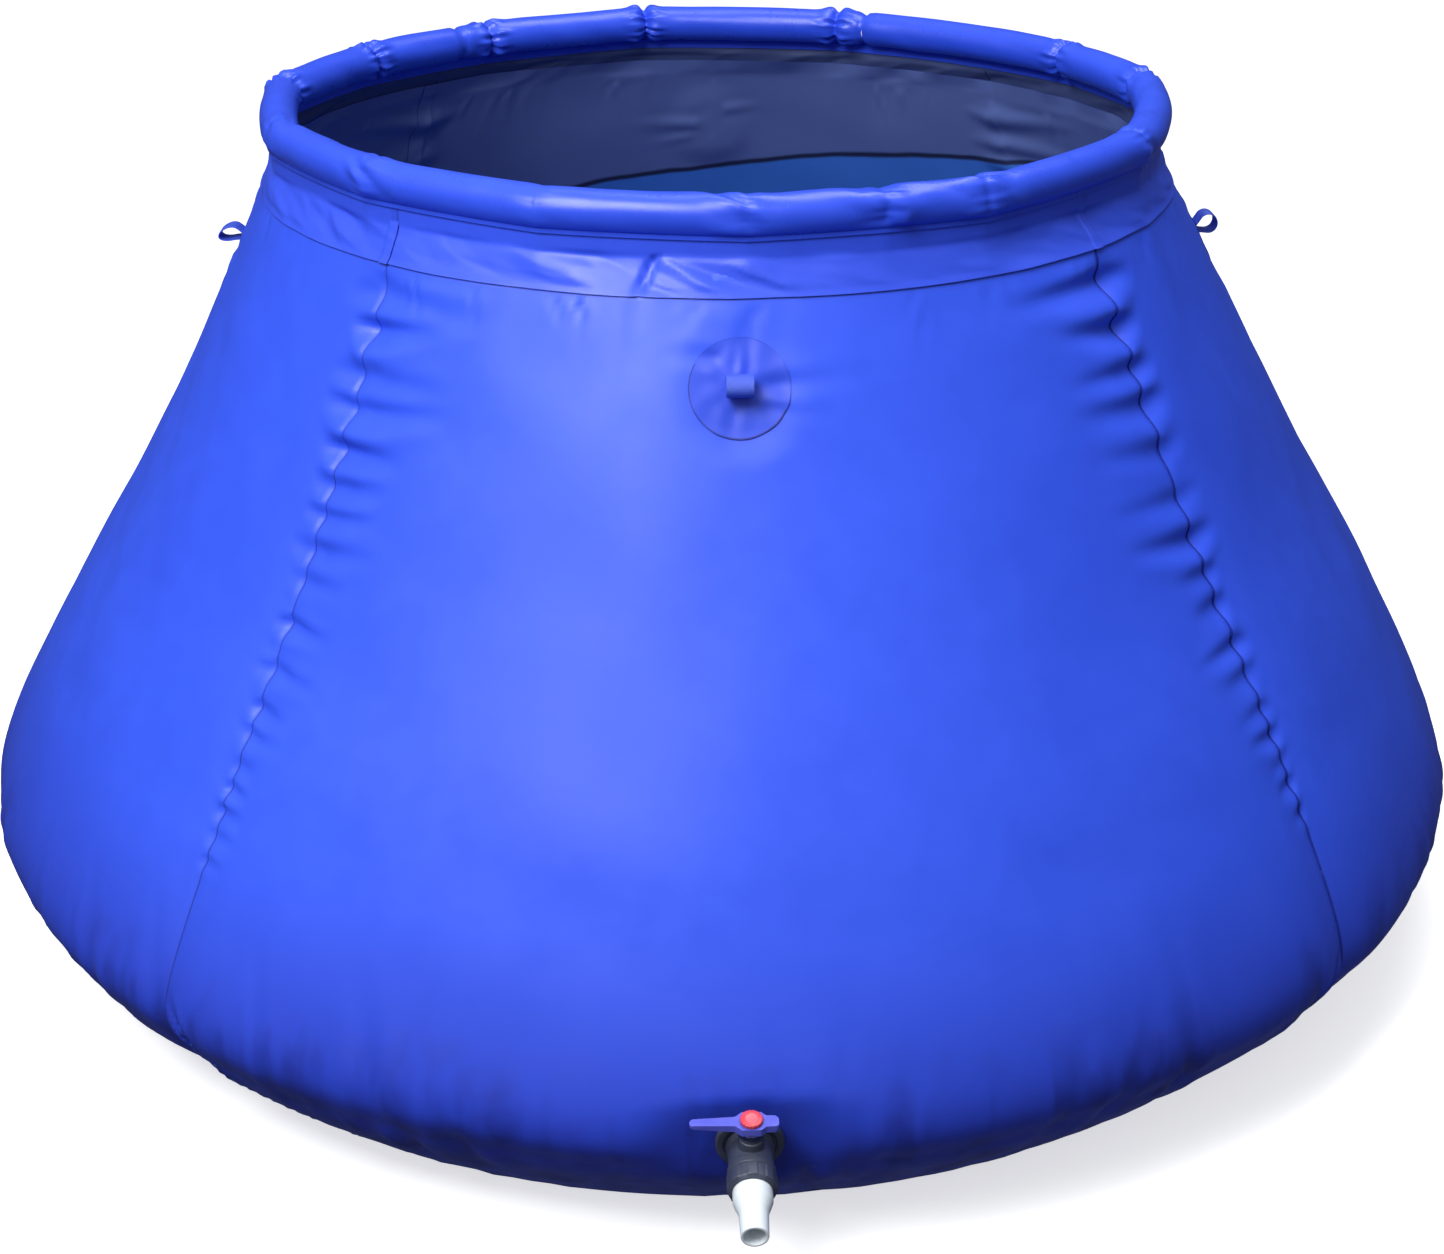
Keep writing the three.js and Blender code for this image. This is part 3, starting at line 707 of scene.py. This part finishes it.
def solid(name, points, faces, *looks):
    """A smooth-shaded closed mesh whose faces point out."""
    mesh = bpy.data.meshes.new(name)
    mesh.from_pydata([list(point) for point in points], [], faces)
    work = bmesh.new()
    work.from_mesh(mesh)
    bmesh.ops.recalc_face_normals(work, faces=work.faces)
    work.to_mesh(mesh)
    work.free()
    mesh.shade_smooth()
    mesh.set_sharp_from_angle(angle=SHARP_ANGLE)
    for look in looks:
        mesh.materials.append(LOOKS[look])
    return link(bpy.data.objects.new(name, mesh))


def finished(piece, body, slot, *nodes):
    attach(piece, body)
    if nodes:
        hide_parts(*nodes)
    return piece


def follow_collar(piece):
    """Gives an upper piece of the wall, or a piece on it, a mesh of its own."""
    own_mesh(piece)


# ---------------------------------------------------------------- wall


def panel_azimuths(start, end, count, lap):
    """Azimuths across a panel, close together at its seams, and on over its lap."""
    bend = math.radians(76)
    share = 0.5 + 0.5 * np.sin(bend * np.linspace(-1, 1, count)) / math.sin(bend)
    steps = start + (end - start) * share
    return np.concatenate([steps[:1], [start + 0.12], steps[1:], end + np.array(lap)])


def wall_rows():
    """Height of each row of the wall's grid, and how far it is inside the wall's outline."""
    lower = np.linspace(FLOOR_LEVEL, SPLIT_HEIGHT, 42)
    upper = np.linspace(SPLIT_HEIGHT, NECK_HEIGHT, 132)[1:]
    behind = NECK_HEIGHT + NECK_LAP * np.array([0.2, 0.5, 1.0])
    heights = np.concatenate([[FLOOR_LEVEL], lower, upper, behind])
    insets = np.zeros(len(heights))
    insets[0] = HEM_WIDTH
    return heights, insets, len(lower)


def wall_panel(side, start, end):
    heights, insets, split = wall_rows()
    azimuth, height = np.meshgrid(panel_azimuths(start, end, 132, [0.5, 1.2, LAP_TURN]), heights)
    radius = wall_radius(azimuth, height) - insets[:, None]
    beyond = np.radians(azimuth - end) * radius
    radius -= LAYER * smooth(beyond / 0.006 + 1)
    turned = azimuth + seam_shift(azimuth, height)
    outer = around(turned, radius, height)
    inner = around(turned, radius - FABRIC, np.where(insets[:, None] > 0, height - 0.001, height))
    inner[0] = around(turned[0], radius[0], height[0] + FABRIC)
    normals, uv = grid_normals(outer), cloth_uv(outer)

    outer_slots = np.zeros((outer.shape[0] - 1, outer.shape[1] - 1), int)
    # The strip at the panel's start takes the dark weld colour: the seam's own dark edge, and partly a
    # painted shadow under it.
    outer_slots[:, 0] = 2
    inner_slots = np.ones(outer_slots.shape, int)

    for part, rows, low, high in (
        ("lower", slice(0, split + 1), FLOOR_LEVEL, SPLIT_HEIGHT),
        ("upper", slice(split, None), SPLIT_HEIGHT, NECK_HEIGHT),
    ):
        faces = slice(rows.start, None if rows.stop is None else rows.stop - 1)
        piece = cloth(
            f"wall_{side}_{part}", outer[rows], inner[rows], ["blue", "lining", "weld"],
            slots=(outer_slots[faces], inner_slots[faces]), normals=normals[rows], uv=uv[rows],
        )
        finished(piece, "tank", "coated_fabric", *([f"wall_panel_{side}"] if part == "upper" else []))
        length = outline_length(low, high) + (HEM_WIDTH if part == "lower" else NECK_LAP)
        levels = np.linspace(low, high, 40)
        if part == "upper":
            follow_collar(piece)


for side, start, end in zip(SIDES, SEAMS, SEAMS[1:]):
    wall_panel(side, start, end)

# ---------------------------------------------------------------- base


def disc_grid(rings, sides):
    """Radius share and azimuth of a disc's grid: rows go inwards, and columns round."""
    share = np.concatenate([[1, 0.975], np.linspace(0.975, 0.06, rings)[1:], [0.02]])
    return np.meshgrid(np.linspace(0, 360, sides, endpoint=False), share)


def base():
    azimuth, share = disc_grid(26, 240)
    rim = wall_radius(azimuth, np.full(azimuth.shape, FLOOR_LEVEL)) - 0.001
    top = around(azimuth, rim * share, 0.0)
    ripples = 0.5 + 0.5 * relief(21, top, 0.22)
    top[..., 2] = FLOOR_LEVEL - 0.0004 + 0.0035 * ripples * smooth((0.93 - share) / 0.1)
    bottom = top.copy()
    bottom[..., 2] = np.maximum(top[..., 2] - FABRIC, 0.0)
    looks = ["lining_low", "blue", "weld"]
    piece = cloth("base_sheet", top, bottom, looks, wrap=True, capped=True, uv=top[..., :2])
    finished(piece, "tank", "coated_fabric", "base_panel")


base()

# ---------------------------------------------------------------- neck band


def band_panel(side, start, end):
    heights = np.linspace(BAND_FOOT, BAND_TOP - 0.002, 26)
    azimuth, height = np.meshgrid(panel_azimuths(start, end, 190, BAND_LAP), heights)
    radius = band_radius(azimuth, height) + 0.0012 * (1 - smooth((height - BAND_FOOT) / 0.006))
    past = np.radians(azimuth - end) * radius
    radius += LAYER * smooth(past / 0.004 + 1) * (1 - smooth((height - 0.967) / 0.004))
    outer = around(azimuth, radius, height)
    inner = around(azimuth, radius - FABRIC, height)
    slots = np.zeros((outer.shape[0] - 1, outer.shape[1] - 1), int)
    slots[:, -1] = 2
    looks, slots = ["band", "lining_top", "weld"], (slots, np.ones(slots.shape, int))
    piece = cloth(f"band_{side}", outer, inner, looks, slots=slots, uv=cloth_uv(outer))
    finished(piece, "float_collar", "coated_fabric", f"neck_band_{side}")


for side, start, end in zip(SIDES, BAND_SEAMS, BAND_SEAMS[1:]):
    band_panel(side, start, end)

# ---------------------------------------------------------------- float


def collar_height(azimuth):
    number, along, _ = joint_spans(azimuth)
    return FLOAT_HEIGHT - 0.0008 + along_log(JOINT_LIFT, number, along)


def sleeve_azimuths():
    """Columns of the sleeve's grid: even steps, and close ones at the joints of the foam."""
    near = np.array([0, 0.12, 0.26, 0.42, 0.62, 0.86, 1.15, 1.5, 1.9, 2.35, 2.85, 3.4, 4.0, 4.6])
    even = np.arange(0, 360, 0.9)
    clear = np.abs(degrees_past(even[:, None], FOAM_JOINTS % 360)).min(1) > near[-1] + 0.3
    close = (FOAM_JOINTS[:, None] % 360 + np.concatenate([-near[:0:-1], near])).ravel() % 360
    return np.sort(np.concatenate([even[clear], close]))


def sleeve_relief(azimuth, angle):
    """How the sleeve's cloth stands off its round section, by azimuth and by angle round it."""
    number, along, half = joint_spans(azimuth)
    arc = (1 - np.abs(along)) * half * FLOAT_RADIUS
    joint = np.where(along > 0, number + 1, number) % len(FOAM_JOINTS)
    side = np.where(along > 0, -1, 1)
    pinch = JOINT_PINCH[joint]
    turn = np.radians(angle)
    total = SLEEVE_RADIUS * pinch * (-bell(arc / 0.0052) + 0.26 * bell((arc - 0.015) / 0.008))
    gather = np.cos(turn * (9 + joint % 4) + joint * 1.7 + side * 40 * arc)
    gather += 0.7 * np.cos(turn * (15 + joint % 3) + joint * 2.9)
    total += 0.0012 * gather * bell((arc - 0.006) / 0.016) * (pinch / 0.18)
    for at, depth in TUCKS:
        away = np.radians(degrees_past(azimuth, at)) * FLOAT_RADIUS
        total -= SLEEVE_RADIUS * depth * bell(away / 0.0050)
    round_it = (angle + 90) / 360 * 0.145
    crumple = sum(facets(31, azimuth + step, round_it, 140, 0.020) for step in (-0.25, 0, 0.25)) / 3
    total += JOINT_CRUMPLE[joint] * crumple * bell(arc / 0.034)
    broad = sum(facets(32, azimuth + step, round_it, 60, 0.036) for step in (-0.6, 0, 0.6)) / 3
    return total + 0.0009 * broad


def sleeve():
    first = math.degrees(math.asin((BAND_SIDE + LIP_OFFSET) / SLEEVE_RADIUS)) - 90
    last = math.degrees(math.asin((BAND_SIDE - LIP_OFFSET) / SLEEVE_RADIUS)) + 270
    angles = np.linspace(first, last, 50)
    tips = [SLEEVE_FEET[lip] - FLOAT_HEIGHT for lip in ("outer", "inner")]
    drops = [tip + np.array([0, 0.003, 0.006])[:, None] for tip in tips]
    azimuth, angle = np.meshgrid(sleeve_azimuths(), angles)
    loose = smooth((angle - first - 4) / 24) * smooth((last - 4 - angle) / 24)
    radius = SLEEVE_RADIUS + sleeve_relief(azimuth, angle) * loose
    out, up = radius * np.cos(np.radians(angle)), radius * np.sin(np.radians(angle))
    lips = np.ones((3, azimuth.shape[1]))
    out = np.concatenate([lips * (BAND_SIDE + LIP_OFFSET), out, lips * (BAND_SIDE - LIP_OFFSET)])
    up = np.concatenate([lips * drops[0], up, lips * drops[1][::-1]])
    azimuth = np.broadcast_to(azimuth[:1], out.shape)
    middle = collar_radius(azimuth)
    outer = around(azimuth, middle + out, collar_height(azimuth) + up)
    normals = grid_normals(outer, wrap=True)
    inner = outer - FABRIC * normals
    uv = cloth_uv(np.concatenate([outer, outer[:, :1]], 1))[:, :-1]
    looks = ["collar"] * 3
    piece = cloth("float_sleeve_cloth", outer, inner, looks, wrap=True, normals=normals, uv=uv)
    finished(piece, "float_collar", "coated_fabric", "float_sleeve")


sleeve()


def foam_log(number):
    """A round log of foam with softened ends, bent to the ring."""
    margin = math.degrees((FOAM_GAP / 2 + 0.001) / FLOAT_RADIUS)
    start, end = LOG_ENDS[number] + margin, LOG_ENDS[number + 1] - margin
    ease = np.array([0, 0.0006, 0.002, 0.004])
    share = np.array([0.80, 0.90, 0.97, 1.0])
    ends = np.degrees(ease / FLOAT_RADIUS)
    middle = np.linspace(start + ends[-1], end - ends[-1], 14)[1:-1]
    azimuths = np.concatenate([start + ends, middle, end - ends[::-1]])
    shares = np.concatenate([share, np.ones(len(middle)), share[::-1]])
    angle = np.linspace(0, 360, 28, endpoint=False)
    angle, azimuth = np.meshgrid(angle, azimuths)
    radius = FOAM_RADIUS * shares[:, None]
    out = collar_radius(azimuth) + radius * np.cos(np.radians(angle))
    points = around(azimuth, out, collar_height(azimuth) + radius * np.sin(np.radians(angle)))
    rows, columns = azimuth.shape
    faces = grid_quads(rows, columns, True).tolist()
    faces += [list(range(columns))[::-1], list(range((rows - 1) * columns, rows * columns))]
    name = f"foam_log_{number + 1:02d}"
    piece = solid(name, points.reshape(-1, 3), faces, "foam")
    finished(piece, "float_collar", "foam", f"float_foam_{number + 1:02d}")


for number in range(len(FOAM_JOINTS)):
    foam_log(number)

# ---------------------------------------------------------------- patches and loops


def patch(side, facing):
    azimuth, share = disc_grid(16, 84)
    turn = np.radians(azimuth)
    x, y = PATCH_RADIUS * share * np.cos(turn), PATCH_RADIUS * share * np.sin(turn)
    out = PATCH_PLACE.radius + y * PATCH_PLACE.slope / PATCH_PLACE.stretch
    height = PATCH_PLACE.height + y / PATCH_PLACE.stretch
    where = facing + np.degrees(np.arctan2(x, out))
    radius = wall_radius(where, height)
    lift = PATCH_PLACE.stretch
    ripple = 0.0004 * relief(51 + facing, np.stack([x, y, x * 0], -1), 0.03)
    top = around(where, radius + (LAYER + np.maximum(ripple, -0.0003)) * lift, height)
    bottom = around(where, radius + SKIN_GAP * lift, height)
    slots = np.zeros((top.shape[0] - 1, top.shape[1]), int)
    # Painted shadow: the lower-left half of the rim's outer ring takes the dark weld colour as the shadow
    # line under the patch's edge.
    slots[0] = np.where(np.cos(turn[0] - math.radians(240)) > 0, 2, 0)
    piece = cloth(
        f"patch_{side}", top, bottom, ["patch", "blue", "weld"],
        slots=(slots, slots), wrap=True, capped=True, uv=np.stack([x, y], -1),
    )
    finished(piece, "tank", "coated_fabric", f"loop_patch_{side}")
    follow_collar(piece)


def loop(side, facing, droop, squeeze):
    """Webbing bent into an upright eye, narrow at its foot; its opening runs across."""
    head, top, foot = LOOP["head"], LOOP["height"], LOOP["foot"]
    spread = math.radians(24)
    turn = np.linspace(-spread, math.pi + spread, 22)
    arc = np.stack([head * np.cos(turn) * squeeze, top + head * np.sin(turn)], -1)
    rise = np.linspace(0, 1, 6)[:-1, None]
    ends = np.array([[foot, 0.0], [-foot, 0.0]])
    legs = [end + (tip - end) * rise for end, tip in zip(ends, (arc[0], arc[-1]))]
    path = np.concatenate([legs[0], arc, legs[1][::-1]])
    path[:, 0] -= droop * (path[:, 1] / top) ** 2
    along = np.gradient(path, axis=0)
    along /= np.linalg.norm(along, axis=1, keepdims=True)
    normal = np.stack([along[:, 1], -along[:, 0]], -1)
    x = np.linspace(-0.5, 0.5, 11) * LOOP["width"]
    base_level = 2 * SKIN_GAP + FABRIC
    edge = np.minimum(1, (0.5 * LOOP["width"] - np.abs(x)) / 0.002)
    half = LOOP["thickness"] / 2 * (0.55 + 0.45 * edge)
    faces_at = []
    for sign in (1, -1):
        y = path[:, :1] + sign * normal[:, :1] * half
        z = base_level + path[:, 1:] + sign * normal[:, 1:] * half
        x_grid = np.broadcast_to(x, (len(path), len(x)))
        faces_at.append(PATCH_PLACE.point(facing, x_grid, y, np.maximum(z, base_level)))
    piece = cloth(f"loop_{side}", *faces_at, ["webbing"] * 3, uv=cloth_uv(faces_at[0]))
    finished(piece, "tank", "webbing", f"tie_loop_{side}")
    follow_collar(piece)


LOOP_SHAPES = {  # how far each loop droops, and how wide it stands
    "front": (0.0015, 1.0), "right": (0.0, 1.06), "back": (0.002, 0.95), "left": (0.004, 0.85),
}
for side, facing in SIDES.items():
    patch(side, facing)
    loop(side, facing, *LOOP_SHAPES[side])

# ---------------------------------------------------------------- valve

# The valve's own frame, in millimetres: X across, Y up the stem, Z out of the wall along the flow.
stem_point = Vector(joints["lever_turn"]["pos_m"])
AXES = Matrix((ACROSS, STEM_AXIS, FLOW_AXIS)).transposed().to_4x4()
VALVE = Matrix.Translation(stem_point - FLOW_AXIS * BALL_ALONG / 1000) @ AXES @ Matrix.Scale(0.001, 4)


def rounded(corners, steps=5):
    """A closed outline with its corners rounded: each corner is x, y and, where round, a radius."""
    points = []
    for i, corner in enumerate(corners):
        here = Vector(corner[:2])
        size = corner[2] if len(corner) > 2 else 0
        if not size:
            points.append(tuple(here))
            continue
        before = (Vector(corners[i - 1][:2]) - here).normalized()
        after = (Vector(corners[(i + 1) % len(corners)][:2]) - here).normalized()
        half = before.angle(after) / 2
        reach = size / math.tan(half)
        start, end = here + before * reach, here + after * reach
        centre = here + (before + after).normalized() * size / math.sin(half)
        first = start - centre
        turn = first.angle_signed(end - centre)
        for step in range(steps + 1):
            spun = first.copy()
            spun.rotate(Matrix.Rotation(-turn * step / steps, 2))
            points.append(tuple(centre + spun))
    return points


def turned(name, corners, looks, segments=96, ribs=None, upright=False, paint=None):
    """A ring-shaped solid turned about the flow axis, or about the stem where upright. ribs gives
    extra radius by angle for the points at the outside; paint gives a face's material number."""
    outline = rounded(corners)
    largest = max(radius for radius, _ in outline)
    points = []
    for radius, along in outline:
        for step in range(segments):
            angle = 2 * math.pi * step / segments
            size = radius + (ribs(angle) if ribs and radius > largest - 0.6 else 0)
            x, y = size * math.cos(angle), size * math.sin(angle)
            points.append((x, along, -y) if upright else (x, y, along))
    if upright:
        points = [(x, y, z + BALL_ALONG) for x, y, z in points]
    count = len(outline)
    faces = []
    for i in range(count):
        row, above = i * segments, (i + 1) % count * segments
        for step in range(segments):
            after = (step + 1) % segments
            faces.append((row + step, row + after, above + after, above + step))
    piece = solid(name, [VALVE @ Vector(point) for point in points], faces, *looks)
    if paint:
        for i, face in enumerate(piece.data.polygons):
            face.material_index = paint(outline[i // segments], outline[(i // segments + 1) % count])
    return piece


def joined(piece, *others):
    """The union of solids, as the first piece."""
    for other in others:
        union = piece.modifiers.new("union", "BOOLEAN")
        union.operation, union.solver, union.object = "UNION", "EXACT", other
    whole = bpy.data.meshes.new_from_object(piece.evaluated_get(bpy.context.evaluated_depsgraph_get()))
    piece.modifiers.clear()
    piece.data = whole
    piece.data.shade_smooth()
    piece.data.set_sharp_from_angle(angle=SHARP_ANGLE)
    for other in others:
        bpy.data.objects.remove(other)
    return piece


def lugs(count, size):
    """Extra radius of evenly spaced grip lugs."""
    return lambda angle: size * smooth((math.cos(count * angle) + 0.35) / 0.5)


def fitting(name, node, profile, slot="grey_pvc", look="grey", **shape):
    """A turned piece of the tank's outlet."""
    finished(turned(name, profile, [look], **shape), "tank", slot, node)


def bulkhead():
    fitting("bulkhead_flange", "bulkhead_fitting", [
        (16.9, -30), (21, -30, 1), (21, 3.1), (35, 3.1, 0.8), (35, 10, 2.4), (27.5, 10, 0.6),
        (26.5, 8.6, 0.6), (16.9, 8.6),
    ])
    nut = [(21.4, -18.6), (29, -18.6, 1.5), (29, -6.6, 1.0), (21.4, -6.6)]
    fitting("bulkhead_back_nut", "bulkhead_nut", nut, ribs=lugs(6, 2.2), segments=144)
    for side, outer, low, high in (("outer", 33.5, 0.3, 2.8), ("inner", 30, -6.3, -3.8)):
        ring = [(21.4, low), (outer, low, 0.7), (outer, high, 0.7), (21.4, high)]
        fitting(f"gasket_{side}", f"outlet_gasket_{side}", ring, slot="rubber", look="rubber")


def body():
    barrel = turned("valve_housing", [
        (10.5, -22), (16.5, -22, 1), (16.5, 10.3), (24.5, 10.3, 1.6), (24.5, 17.5, 1.2), (22.8, 19.5, 1),
        (22.8, 43.5, 1), (24.5, 45.5, 1.2), (24.5, 53.6, 1.4), (21.8, 53.8), (21.8, 67, 0.8), (10.5, 67),
    ], ["grey"])
    boss = turned("boss", [
        (5.3, 8), (13, 8), (13, 31, 1.5), (11.6, 32, 0.8), (11.6, 36, 0.8), (5.3, 36),
    ], ["grey"], upright=True)
    finished(joined(barrel, boss), "tank", "grey_pvc", "valve_body")
    nut = [(22.1, 54.3), (24.6, 54.3, 0.9), (24.6, 70, 3.0), (20.3, 74.4, 0.5), (20.3, 71.8), (22.1, 71.8)]
    fitting("union_nut", "outlet_nut", nut, ribs=lugs(8, 0.7), segments=192)


def tail():
    fitting("hose_spout", "hose_tail", [
        (11, 69.1), (22, 69.1), (22, 71.4), (20, 71.6), (20.1, 85, 6), (14.9, 100, 14), (13.9, 129, 0.9),
        (11.2, 129, 0.6),
    ], slot="white_pvc", look="white", segments=128)


def handle():
    """The lever: a blade that tapers to -X, a short arm to +X, and a skirt about the stem, painted near
    black as shade.
    """
    side = [(-61, 4.4, 3), (-16, 6.2, 6), (-9.5, 12.2, 3), (9.5, 12.2, 3), (14.5, 7.6, 2), (27, 7, 3.2)]
    plan = rounded([(x, -y, radius) for x, y, radius in side] + side[::-1])
    root, tip = 14, 61  # the blade thins from here to here
    work = bmesh.new()
    levels = []
    for top in (False, True):
        ring = []
        for x, across in plan:
            reach = min(1.0, max(0.0, (-x - root) / (tip - root)))
            up = 53.0 - 0.8 * reach if top else 44.5 + 3.0 * reach
            ring.append(work.verts.new((x, up, -across + BALL_ALONG)))
        levels.append(ring)
    count = len(plan)
    work.faces.new(levels[0][::-1])
    work.faces.new(levels[1])
    for i in range(count):
        j = (i + 1) % count
        work.faces.new((levels[0][i], levels[0][j], levels[1][j], levels[1][i]))
    rims = [e for e in work.edges if (e.verts[0] in levels[0]) == (e.verts[1] in levels[0])]
    bmesh.ops.bevel(work, geom=rims, offset=1.3, segments=4, profile=0.5, affect="EDGES")
    mesh = bpy.data.meshes.new("blade")
    work.to_mesh(mesh)
    work.free()
    points = [VALVE @ vertex.co for vertex in mesh.vertices]
    blade = solid("lever_blade", points, [list(face.vertices) for face in mesh.polygons], "handle")
    finished(blade, "valve_lever", "handle_blue", "valve_handle")
    cone = [(5.3, 36.6), (12.4, 36.6, 0.8), (13.6, 44.3, 0.6), (5.3, 44.3)]
    # The skirt's dark colour is painted shade.
    skirt = turned("lever_skirt", cone, ["skirt"], upright=True, ribs=lugs(10, 0.5), segments=120)
    finished(skirt, "valve_lever", "handle_blue")


def cap():
    """A red disc with a fluted rim and a lighter, dished centre."""
    disc = [
        (0.05, 53.3), (11.2, 53.3, 0.5), (11.2, 57.2, 1.2), (6.6, 57.8, 0.4), (6.2, 57, 0.4), (0.05, 56.7),
    ]
    piece = turned(
        "lever_cap", disc, ["red", "red_light"], upright=True, ribs=lugs(18, 0.35), segments=144,
        paint=lambda a, b: int(max(a[0], b[0]) < 6.7 and min(a[1], b[1]) > 55),
    )
    finished(piece, "valve_lever", "cap_red", "handle_cap")


for make in (bulkhead, body, tail, handle, cap):
    make()

# The pieces inside the valve keep their CAD shape.
INSIDE = {
    "valve_ball": "seal", "ball_seat_inlet": "seal", "ball_seat_outlet": "seal", "seat_retainer": "grey",
    "valve_stem": "grey", "stem_seal": "rubber", "handle_screw": "steel", "hose_tail_seal": "rubber",
}
for node, look in INSIDE.items():
    for slot in frame["nodes"][node].material_slots:
        slot.material = LOOKS[look]

# ---------------------------------------------------------------- floor and light


def add_floor():
    look = Look("floor", roughness=0.9, specular=0.1)
    look.paint(look.tint(look.noise(1.5), (0.93, 0.93, 0.93), (0.95, 0.95, 0.95)))
    look.put(look.shader["Emission Color"], (1, 1, 1))
    look.put(look.shader["Emission Strength"], 0.62)
    mesh = bpy.data.meshes.new("floor")
    half, level = 150, -0.0005  # wide enough to reach near the horizon, and just under the base
    corners = [(x * half, y * half, level) for x, y in ((-1, -1), (1, -1), (1, 1), (-1, 1))]
    mesh.from_pydata(corners, [], [(0, 1, 2, 3)])
    mesh.materials.append(look.material)
    floor = link(bpy.data.objects.new("floor", mesh))
    floor.visible_diffuse = False
    floor.visible_glossy = False


def add_light(name, place, size, power):
    """A square lamp that points at the tank's middle."""
    data = bpy.data.lights.new(name, "AREA")
    data.size, data.energy = size, power
    lamp = link(bpy.data.objects.new(name, data))
    lamp.location = place
    lamp.rotation_euler = (Vector((0, 0, 0.5)) - Vector(place)).to_track_quat("-Z", "Y").to_euler()


def add_world():
    """A soft sky, brightest above the tank's left front, and dim and bluish below."""
    world = bpy.data.worlds.new("world")
    bpy.context.scene.world = world
    world.use_nodes = True
    sky = Nodes(world.node_tree)
    background = world.node_tree.nodes["Background"].inputs
    where = sky.add("TexCoord", {}).outputs["Generated"]
    brightest = Vector((-0.25, -0.30, 0.92)).normalized()
    towards = sky.add("VectorMath", {0: where, 1: brightest}, operation="DOT_PRODUCT").outputs["Value"]
    sky.put(background["Strength"], sky.between(towards, 0.14, 0.70, 0.2, 1.0))
    share = sky.between(towards, 0.0, 1.0, -0.3, 0.5)
    sky.put(background["Color"], sky.tint(share, (0.42, 0.50, 1.0), (1, 1, 1)))


add_floor()
add_world()
add_light("key", (-1.25, -2.1, 3.2), 1.6, 112)
add_light("top", (0.8, 0.6, 4.0), 2.0, 62)
bpy.context.scene.view_settings.view_transform = "Standard"
